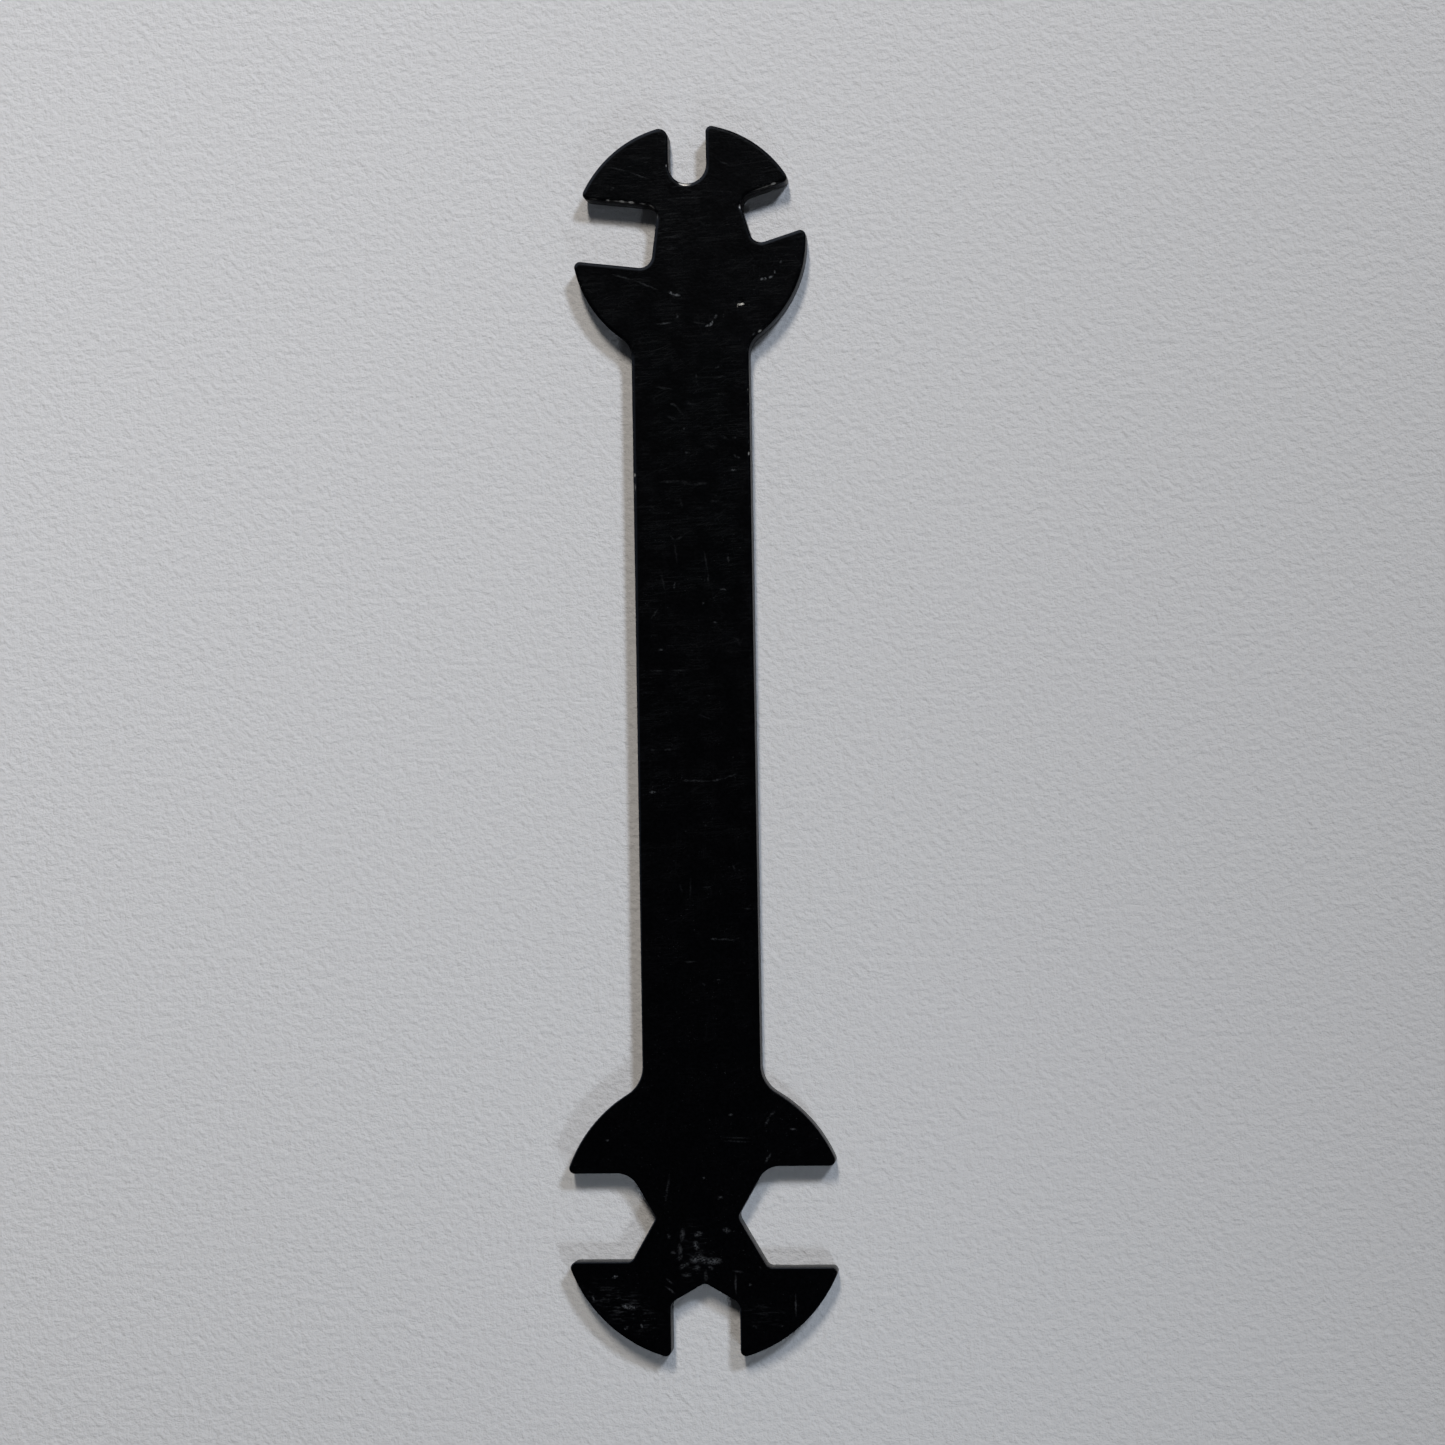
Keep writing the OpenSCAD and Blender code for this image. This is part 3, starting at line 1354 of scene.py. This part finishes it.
@dataclass(frozen=True)
class Studio:
    """The pale floor, the lights, the room round them and the camera.

    Attributes:
        floor_painted_bright: colour of the floor at the lit end of its painted light falloff.
        floor_painted_dim: colour of the floor at the shaded end of that painted falloff.
        painted_falloff: distance from the middle over which the painted light fades either way.
        painted_falloff_turn: direction in which the painted light fades, in degrees.
        floor_roughness: roughness of the floor.
        floor_shine: mirror strength of the floor.
        floor_reach: half the floor's width.
        floor_gap: how far the floor lies below the plate.
        floor_cells: cells along each side of the floor.
        floor_grain: pattern of the floor's texture.
        floor_relief: height of the floor's texture.
        sky: colour of the light from all round.
        sky_strength: strength of that light.
        backdrop: colour of the room at the sides, which mirrors show too.
        ceiling: colour of the room overhead.
        ceiling_span: heights of a direction between which the sides turn into the ceiling.
        lamps: the soft lights.
        eye: place of the camera.
        aim: point in the middle of the picture.
        roll: the camera's turn about its own axis, in degrees.
        lens: focal length.
        sensor: width of the picture in the camera.
        nearest: distance from which the camera sees.
    """

    floor_painted_bright: Colour = (0.547, 0.546, 0.568)
    floor_painted_dim: Colour = (0.318, 0.317, 0.328)
    painted_falloff: float = 110.0
    painted_falloff_turn: float = -48.0
    floor_roughness: float = 0.62
    floor_shine: float = 0.05
    floor_reach: float = 4000.0
    floor_gap: float = 0.01
    floor_cells: int = 8
    floor_grain: Grain = Grain(scale=1.6, detail=4.0, roughness=0.65)
    floor_relief: float = 0.25
    sky: Colour = (0.90, 0.97, 1.06)
    sky_strength: float = 0.045
    backdrop: Colour = (0.88, 0.89, 0.91)
    ceiling: Colour = (0.09, 0.095, 0.10)
    ceiling_span: Point = (0.35, 0.9)
    lamps: tuple[Lamp, ...] = (
        Lamp(
            name="key_lamp",
            azimuth=94.5,
            elevation=58.2,
            distance=2500.0,
            across=220.0,
            tall=700.0,
            power=46.0,
            colour=(1.0, 0.935, 0.83),
        ),
        Lamp(
            name="side_lamp",
            azimuth=52.0,
            elevation=52.0,
            distance=2500.0,
            across=330.0,
            tall=330.0,
            power=36.0,
            colour=(0.86, 0.95, 1.06),
        ),
        Lamp(
            name="fill_lamp",
            azimuth=-51.0,
            elevation=53.0,
            distance=140.0,
            across=20.0,
            tall=20.0,
            power=0.013,
            colour=(0.84, 0.93, 1.0),
            aim=(0.0, -38.5, 0.0),
            spread=90.0,
        ),
    )
    eye: Place = (32.29, -8.12, 291.47)
    aim: Place = (2.17, 1.215, 2.5)
    roll: float = -0.9386
    lens: float = 89.86
    sensor: float = 36.0
    nearest: float = 10.0

    def build_floor(self) -> bpy.types.Object:
        """Lays the floor: a flat square grid with a faint grain in its material.

        Returns:
            The floor, marked as not part of the object.
        """
        line = np.linspace(-self.floor_reach, self.floor_reach, self.floor_cells + 1)
        x, y = np.meshgrid(line, line)
        points = np.stack([x, y, np.full_like(x, -self.floor_gap)], 2).reshape(-1, 3) * MM
        cell = np.arange(self.floor_cells)
        first = (cell[:, None] * len(line) + cell).ravel()
        faces = np.stack([first, first + 1, first + len(line) + 1, first + len(line)], 1)
        mesh = bpy.data.meshes.new("floor")
        mesh.from_pydata(points.tolist(), [], faces.tolist())
        mesh.materials.append(self.floor_material())
        floor = bpy.data.objects.new("floor", mesh)
        bpy.context.scene.collection.objects.link(floor)
        return floor

    def floor_material(self) -> bpy.types.Material:
        """The pale floor, with a painted light falloff from one side to the other, and a faint grain.

        Returns:
            The material.
        """
        made = bpy.data.materials.new("pale_floor")
        made.use_nodes = True
        bench = Bench(made.node_tree)
        place = bench.millimetres()
        # Painted light: the floor's colour darkens from one side to the other, standing in for the
        # lamps' falloff.
        along = bench.placed(place, ORIGIN, (self.painted_falloff,) * 3, self.painted_falloff_turn)
        share = bench.step(bench.part(along, "X"), (-1.0, 1.0))
        height = bench.noise(place, self.floor_grain) * self.floor_relief
        sockets = {
            "Base Color": bench.blend(share, self.floor_painted_bright, self.floor_painted_dim),
            "Roughness": self.floor_roughness,
            "Specular IOR Level": self.floor_shine,
            "Normal": bench.node("ShaderNodeBump", {}, {"Height": height, "Distance": MM}),
        }
        surface = bench.node("ShaderNodeBsdfPrincipled", {}, sockets)
        bench.node("ShaderNodeOutputMaterial", {}, {"Surface": surface})
        return made

    def build_sky(self) -> None:
        """Sets the dim light from all round, and the paler room that the camera and mirrors see."""
        world = bpy.data.worlds.new("dim_room")
        world.use_nodes = True
        bench = Bench(world.node_tree)
        upwards = bench.part(bench.node("ShaderNodeTexCoord", output="Generated"), "Z")
        overhead = bench.step(upwards, self.ceiling_span)
        sky = {"Color": opaque(self.sky), "Strength": self.sky_strength}
        room = {"Color": bench.blend(overhead, self.backdrop, self.ceiling), "Strength": 1.0}
        light, seen = (bench.node("ShaderNodeBackground", {}, sockets) for sockets in (sky, room))
        rays = ("Is Camera Ray", "Is Glossy Ray", "Is Transmission Ray")
        straight, mirrored, passed = (bench.node("ShaderNodeLightPath", output=ray) for ray in rays)
        sockets = {0: straight | mirrored | passed, 1: light, 2: seen}
        shown = bench.node("ShaderNodeMixShader", {}, sockets)
        bench.node("ShaderNodeOutputWorld", {}, {"Surface": shown})
        bpy.context.scene.world = world

    def build_camera(self) -> bpy.types.Object:
        """Puts the camera where the photograph was taken from.

        Its axes are the way to the aim, the direction square to it and to the shank, and the cross
        product of the two, turned by the roll.

        Returns:
            The camera.
        """
        data = bpy.data.cameras.new("camera")
        data.lens = self.lens
        data.sensor_width = self.sensor
        data.clip_start = self.nearest * MM
        camera = bpy.data.objects.new("camera", data)
        eye, aim = np.array(self.eye), np.array(self.aim)
        ahead = (aim - eye) / np.linalg.norm(aim - eye)
        right = np.cross(ahead, ALONG)
        right /= np.linalg.norm(right)
        up = np.cross(right, ahead)
        c, s = math.cos(math.radians(self.roll)), math.sin(math.radians(self.roll))
        matrix = np.eye(4)
        matrix[:3] = np.stack([c * right + s * up, c * up - s * right, -ahead, eye * MM], 1)
        camera.matrix_world = Matrix(matrix.tolist())
        bpy.context.scene.collection.objects.link(camera)
        bpy.context.scene.camera = camera
        return camera

    def build(self) -> None:
        """Makes the floor, the lights, the room and the camera, and shows colours as they are."""
        LOG.info("floor %s", self.build_floor().name)
        for lamp in self.lamps:
            LOG.info("light %s", lamp.build().name)
        self.build_sky()
        LOG.info("camera %s", self.build_camera().name)
        bpy.context.scene.view_settings.view_transform = "Standard"


SMALL_JAWS = (
    Jaw(JawFloor.ROUND, size=3.0, direction=90.0, depth=4.7, high_tip_r=0.75),
    Jaw(JawFloor.SQUARE, size=5.0, direction=172.5, depth=2.8, low_corner_r=1.0, high_corner_r=1.0),
    Jaw(JawFloor.SQUARE, size=4.0, direction=17.0, depth=4.95, low_corner_r=0.95, high_corner_r=0.95),
)

LARGE_JAWS = (
    Jaw(JawFloor.NOTCHED, size=5.5, direction=270.0, depth=5.25, low_corner_r=0.8, high_corner_r=0.8),
    Jaw(JawFloor.NOTCHED, size=7.0, direction=180.0, depth=3.85, low_corner_r=1.9, high_corner_r=0.6),
    Jaw(JawFloor.NOTCHED, size=8.0, direction=0.0, depth=2.75, low_corner_r=0.6, high_corner_r=1.9),
)

NICKS = (
    # Upper edge of the 5 mm jaw
    Nick(x=-5.4, y=43.7, reach=1.6, depth=0.0, shine=0.32),
    Nick(x=-7.7, y=44.0, reach=0.7, depth=0.0, shine=0.28),
    Nick(x=-3.7, y=43.4, reach=0.5, depth=0.0, shine=0.32),
    Nick(x=-6.5, y=43.8, reach=0.15, depth=0.02, shine=0.7),
    Nick(x=-5.9, y=43.75, reach=0.12, depth=0.02, shine=0.6),
    Nick(x=-5.35, y=43.65, reach=0.2, depth=0.03, shine=1.0),
    Nick(x=-4.6, y=43.5, reach=0.2, depth=0.03, shine=1.0),
    Nick(x=-2.9, y=43.2, reach=0.4, depth=0.01, shine=0.38),
    Nick(x=-2.5, y=42.35, reach=0.35, depth=0.01, shine=0.34),
    # Upper edge of the 4 mm jaw, and the rim above it
    Nick(x=6.3, y=44.2, reach=1.5, depth=0.0, shine=0.35),
    Nick(x=7.05, y=44.6, reach=0.2, depth=0.04, shine=0.9),
    Nick(x=4.35, y=42.95, reach=0.22, depth=0.05, shine=0.55),
    Nick(x=7.45, y=46.0, reach=0.15, depth=0.05, shine=0.75),
    # Side and floor of the 3 mm jaw
    Nick(x=-1.55, y=46.5, reach=0.13, depth=0.04, shine=0.5),
    Nick(x=-0.2, y=45.05, reach=0.45, depth=0.04, shine=1.0),
    # Edges of the neck and the shank
    Nick(x=5.8, y=32.7, reach=0.15, depth=0.03, shine=0.9),
    Nick(x=5.5, y=32.2, reach=0.12, depth=0.03, shine=0.8),
    Nick(x=-4.8, y=21.4, reach=0.16, depth=0.05, shine=0.9),
    Nick(x=-4.8, y=20.4, reach=0.4, depth=0.05, shine=0.4),
    Nick(x=-4.8, y=-14.6, reach=1.8, depth=0.0, shine=0.3),
    Nick(x=4.8, y=22.9, reach=0.2, depth=0.02, shine=0.5),
    Nick(x=4.8, y=26.9, reach=0.14, depth=0.02, shine=0.35),
    Nick(x=4.8, y=28.1, reach=0.14, depth=0.02, shine=0.4),
)

DENTS = (
    Dent(x=4.2, y=35.3, radius=0.3, depth=0.04),
    Dent(x=1.7, y=33.5, radius=0.28, depth=0.02),
    Dent(x=-1.2, y=35.95, radius=0.2, depth=0.02),
    Dent(x=-6.3, y=-45.55, radius=0.22, depth=0.02),
    Dent(x=-7.25, y=-43.25, radius=0.18, depth=0.02),
)

MARKS = (
    # Small head
    *worn(Wear.HAIRLINE, [
        (0.18, 0.13, (-6.5, 46.6), (-4.8, 46.1), (-3.0, 45.4)),
        (0.18, 0.15, (-6.3, 37.8), (-4.4, 37.2), (-2.5, 36.4)),
        (0.18, 0.24, (-2.7, 33.6), (-1.4, 33.7)),
        (0.18, 0.1, (0.2, 33.7), (1.4, 33.5)),
        (0.18, 0.1, (2.7, 46.7), (3.5, 46.3)),
        (0.18, 0.12, (-1.5, 43.8), (1.5, 43.8)),
    ]),
    *worn(Wear.BRUSHED, [
        (2.2, 0.07, (-3.9, 47.8), (-2.7, 46.0)),
        (2.4, 0.09, (-2.6, 44.6), (1.2, 44.2)),
        (3.4, 0.08, (-1.6, 44.4), (-1.4, 38.4)),
        (1.8, 0.13, (-2.4, 41.6), (-1.2, 40.8)),
        (3.6, 0.05, (0.4, 43.2), (1.6, 40.4)),
    ]),
    *worn(Wear.SCUFF, [
        (0.25, 0.32, (-6.2, 44.7), (-6.0, 44.8)),
        (0.22, 0.32, (-1.0, 34.1), (-0.9, 34.2)),
        (0.25, 0.5, (7.5, 38.3), (7.6, 38.4)),
        (0.28, 0.4, (2.1, 34.0), (2.2, 34.2)),
        (0.2, 0.3, (2.8, 34.1), (2.8, 34.2)),
        (0.22, 0.5, (5.2, 32.5), (5.3, 32.6)),
        (0.3, 0.9, (-1.6, 36.2), (-1.3, 36.0), (-0.8, 35.9)),
        (0.26, 1.0, (5.9, 37.0), (6.0, 37.0)),
        (0.24, 1.0, (6.2, 37.0), (6.3, 37.1)),
        (0.24, 1.0, (6.6, 37.1), (6.8, 37.2)),
        (0.22, 0.9, (7.0, 37.5), (7.0, 37.6)),
        (0.22, 0.9, (1.4, 33.3), (1.5, 33.4)),
        (0.28, 1.0, (1.7, 33.4), (1.8, 33.5)),
        (0.22, 0.9, (1.9, 33.6), (1.9, 33.7)),
    ]),
    *worn(Wear.CHIP, [
        (0.34, 1.0, (4.0, 34.9), (4.1, 35.0)),
        (0.32, 1.0, (4.3, 35.0), (4.4, 35.0)),
    ]),
    # Shank beside the small head
    *worn(Wear.HAIRLINE, [
        (0.26, 0.09, (-2.8, 28.5), (-1.5, 28.3)),
        (0.26, 0.09, (1.9, 29.1), (2.8, 29.2)),
        (0.26, 0.08, (-1.5, 27.1), (-1.1, 26.8), (-0.6, 26.1)),
        (0.26, 0.07, (-0.4, 27.1), (0.4, 27.0)),
        (0.26, 0.06, (2.4, 24.4), (3.0, 24.1)),
        (0.26, 0.06, (1.0, 23.6), (2.1, 23.6)),
        (0.3, 0.09, (-2.6, 20.8), (-0.9, 20.8), (0.0, 20.5), (1.3, 20.6)),
        (0.26, 0.06, (-1.0, 19.4), (-0.8, 18.6)),
        (0.26, 0.08, (1.5, 19.1), (2.0, 19.1)),
        (0.26, 0.06, (-3.4, 18.9), (-3.1, 18.6)),
    ]),
    *worn(Wear.SCUFF, [
        (0.5, 0.05, (-1.0, 20.7), (0.9, 20.5)),
        (0.2, 0.2, (0.5, 29.1), (0.5, 29.4)),
        (0.25, 0.2, (2.1, 29.9), (2.3, 30.0)),
        (0.25, 0.18, (-1.6, 27.1), (-1.4, 27.1)),
        (0.35, 0.1, (-1.9, 26.1), (-1.1, 25.7)),
        (0.2, 0.25, (-0.6, 25.0), (-0.5, 25.1)),
        (0.22, 0.25, (3.4, 24.2), (3.6, 24.2)),
        (0.2, 0.22, (-0.5, 23.1), (-0.2, 23.1)),
        (0.25, 0.35, (3.5, 22.8), (3.9, 22.5)),
        (0.22, 0.45, (3.2, 21.6), (3.6, 21.6)),
    ]),
    # Middle of the shank
    *worn(Wear.HAIRLINE, [
        (0.2, 0.1, (-1.8, 16.4), (-1.5, 16.0), (-0.7, 16.4)),
        (0.2, 0.07, (-1.5, 15.9), (-1.3, 14.1)),
        (0.2, 0.09, (0.9, 15.1), (1.2, 13.3), (1.2, 12.4)),
        (0.2, 0.1, (-2.6, 13.2), (-2.3, 12.0)),
        (0.2, 0.11, (-3.5, 9.7), (-2.9, 10.5)),
        (0.2, 0.08, (-3.7, 5.5), (-2.5, 5.5)),
        (0.2, 0.08, (-1.9, 5.5), (-0.6, 5.5)),
        (0.2, 0.07, (0.2, 1.9), (1.3, 1.5)),
        (0.2, 0.11, (-2.6, -0.9), (-2.0, -0.9)),
        (0.2, 0.07, (-3.7, -0.9), (-3.3, -0.9)),
        (0.2, 0.12, (-1.1, -3.4), (1.2, -3.5), (2.2, -3.3), (3.3, -2.9)),
    ]),
    *worn(Wear.SCUFF, [
        (0.22, 0.25, (2.8, 14.6), (2.9, 14.2)),
        (0.22, 0.4, (-1.6, 12.2), (-1.5, 12.6)),
        (0.22, 0.4, (2.2, 12.0), (2.6, 11.9)),
        (0.2, 0.25, (0.7, 10.9), (0.8, 10.9)),
        (0.2, 0.25, (1.6, 9.3), (1.8, 9.3)),
        (0.22, 0.3, (-2.9, 7.2), (-2.6, 7.2)),
        (0.5, 0.08, (3.3, 8.0), (3.7, 7.6)),
        (0.2, 0.25, (1.0, 3.4), (1.1, 3.4)),
        (0.22, 0.34, (-1.1, -3.4), (-0.7, -3.4)),
        (0.22, 0.45, (-3.8, -4.3), (-3.4, -4.3)),
    ]),
    # Shank beside the large head
    *worn(Wear.HAIRLINE, [
        (0.2, 0.06, (-1.5, -11.8), (-1.3, -12.4)),
        (0.2, 0.05, (-0.6, -11.1), (-0.7, -13.1)),
        (0.2, 0.06, (0.3, -12.0), (1.1, -12.0)),
        (0.2, 0.06, (2.8, -10.2), (3.0, -10.7)),
        (0.2, 0.07, (3.6, -13.8), (4.3, -13.8)),
        (0.2, 0.11, (1.3, -16.2), (2.9, -16.3)),
        (0.2, 0.08, (-1.2, -18.0), (-0.3, -18.0)),
    ]),
    *worn(Wear.SCUFF, [
        (0.22, 0.36, (1.0, -16.2), (1.4, -16.2)),
        (0.2, 0.22, (0.2, -19.8), (0.4, -19.9)),
        (0.2, 0.22, (1.4, -19.5), (1.6, -19.5)),
    ]),
    # Large head
    *worn(Wear.HAIRLINE, [
        (0.18, 0.07, (1.6, -32.1), (3.9, -32.2)),
        (0.18, 0.07, (1.6, -32.4), (3.9, -32.5)),
        (0.2, 0.26, (7.1, -31.5), (7.5, -31.5)),
        (0.2, 0.14, (7.3, -44.5), (7.3, -46.5)),
        (0.2, 0.18, (-3.2, -44.0), (-2.4, -44.6)),
        (0.2, 0.12, (-3.1, -43.4), (-2.6, -43.8)),
        (0.22, 0.14, (3.1, -42.9), (2.3, -42.8)),
        (0.22, 0.14, (2.5, -42.9), (2.5, -44.8)),
    ]),
    *worn(Wear.BRUSHED, [
        (3.6, 0.1, (-8.6, -44.6), (-4.6, -46.8)),
        (3.0, 0.05, (-0.8, -39.6), (-0.6, -43.8)),
        (2.6, 0.04, (3.4, -46.0), (6.4, -46.6)),
    ]),
    *worn(Wear.SCUFF, [
        (0.3, 0.18, (5.8, -30.1), (5.4, -30.5), (5.1, -31.2)),
        (0.3, 0.1, (-2.7, -35.0), (-3.1, -37.4)),
        (0.25, 0.24, (2.2, -30.3), (2.4, -30.3)),
        (0.22, 0.26, (-7.8, -32.3), (-7.6, -32.3)),
        (0.22, 0.22, (0.0, -35.4), (0.1, -35.3)),
        (0.3, 0.4, (1.2, -37.0), (1.4, -36.9)),
        (0.25, 0.25, (3.6, -43.9), (3.7, -43.9)),
        (0.28, 0.24, (5.5, -33.4), (5.0, -34.2)),
        (0.5, 0.3, (-1.9, -42.5), (-1.4, -42.2)),
        (0.7, 0.42, (-1.0, -41.9), (-0.4, -41.8), (0.2, -42.0), (1.2, -42.0)),
        (0.42, 0.22, (-1.7, -43.1), (-1.2, -43.1)),
        (0.5, 0.26, (-0.8, -42.6), (-0.5, -42.5)),
        (0.36, 0.24, (0.4, -42.5), (0.6, -42.6)),
        (0.4, 0.16, (0.1, -42.8), (0.1, -43.5)),
        (0.5, 0.22, (-1.7, -39.5), (-1.8, -40.3)),
        (0.46, 0.2, (-2.0, -40.7), (-1.9, -41.5), (-2.0, -41.8)),
        (0.35, 0.16, (-2.9, -39.9), (-2.8, -40.1)),
        (0.35, 0.2, (-2.6, -41.3), (-2.4, -41.3)),
        (0.5, 0.4, (-0.6, -39.9), (-0.3, -39.8)),
        (0.6, 0.4, (-0.7, -40.6), (-0.6, -40.9)),
        (0.3, 0.36, (-0.4, -41.5), (-0.2, -41.5)),
        (0.5, 0.3, (1.7, -39.5), (2.0, -39.6)),
        (0.25, 0.4, (-5.8, -45.7), (-5.6, -45.7)),
        (0.25, 0.42, (-5.2, -47.1), (-5.1, -47.3)),
        (0.25, 0.55, (-9.1, -44.9), (-9.0, -45.1)),
        (0.25, 0.5, (-6.5, -47.4), (-6.3, -47.3)),
        (0.22, 0.16, (6.0, -47.2), (6.2, -47.2)),
        (0.22, 0.2, (3.9, -47.2), (4.1, -47.3)),
        (0.26, 0.85, (-7.4, -43.3), (-7.1, -43.2)),
        (0.4, 1.0, (-6.6, -45.6), (-5.9, -45.7)),
    ]),
    # Lower face, which rubs on the table
    *worn(Wear.HAIRLINE, [
        (0.22, 0.3, (-3.9, 30.0), (-1.0, 22.0), (-0.4, 14.0)),
        (0.22, 0.3, (3.6, -2.0), (0.5, -9.0), (0.2, -14.5)),
        (0.22, 0.25, (-6.0, 36.5), (1.5, 38.2), (6.5, 37.0)),
    ], Face.LOWER),
    *worn(Wear.SCUFF, [
        (0.9, 0.15, (-2.5, 6.0), (2.8, 4.2)),
        (1.1, 0.15, (-4.0, -31.0), (4.5, -33.5)),
        (0.9, 0.15, (-2.0, 41.5), (3.0, 43.5)),
    ], Face.LOWER),
    *worn(Wear.CHIP, [
        (0.3, 0.8, (2.2, 27.0), (2.6, 26.8)),
        (0.3, 0.8, (-1.6, -22.4), (-1.2, -22.8)),
    ], Face.LOWER),
)


def main() -> None:
    """Builds the wrench and its studio, and reports each piece."""
    logging.basicConfig(level=logging.INFO, format="%(message)s")
    low, high = (np.array(corner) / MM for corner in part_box(NODE))
    plate = WrenchPlate(
        body="root",
        slot="black_steel",
        shank_w=9.55,
        small=Head(end=high[1], radius=9.55, fillet_r=2.0, shank_direction=270.0, jaws=SMALL_JAWS),
        large=Head(end=low[1], radius=11.6, fillet_r=2.6, shank_direction=90.0, jaws=LARGE_JAWS),
        edge=EdgeProfile(plate_t=high[2] - low[2]),
        finish=BlackCoat(),
        nicks=NICKS,
        dents=DENTS,
        marks=MARKS,
    )
    piece = plate.build()
    LOG.info("%s: %d faces", piece.name, len(piece.data.polygons))
    Studio().build()


if __name__ == "__main__":
    main()
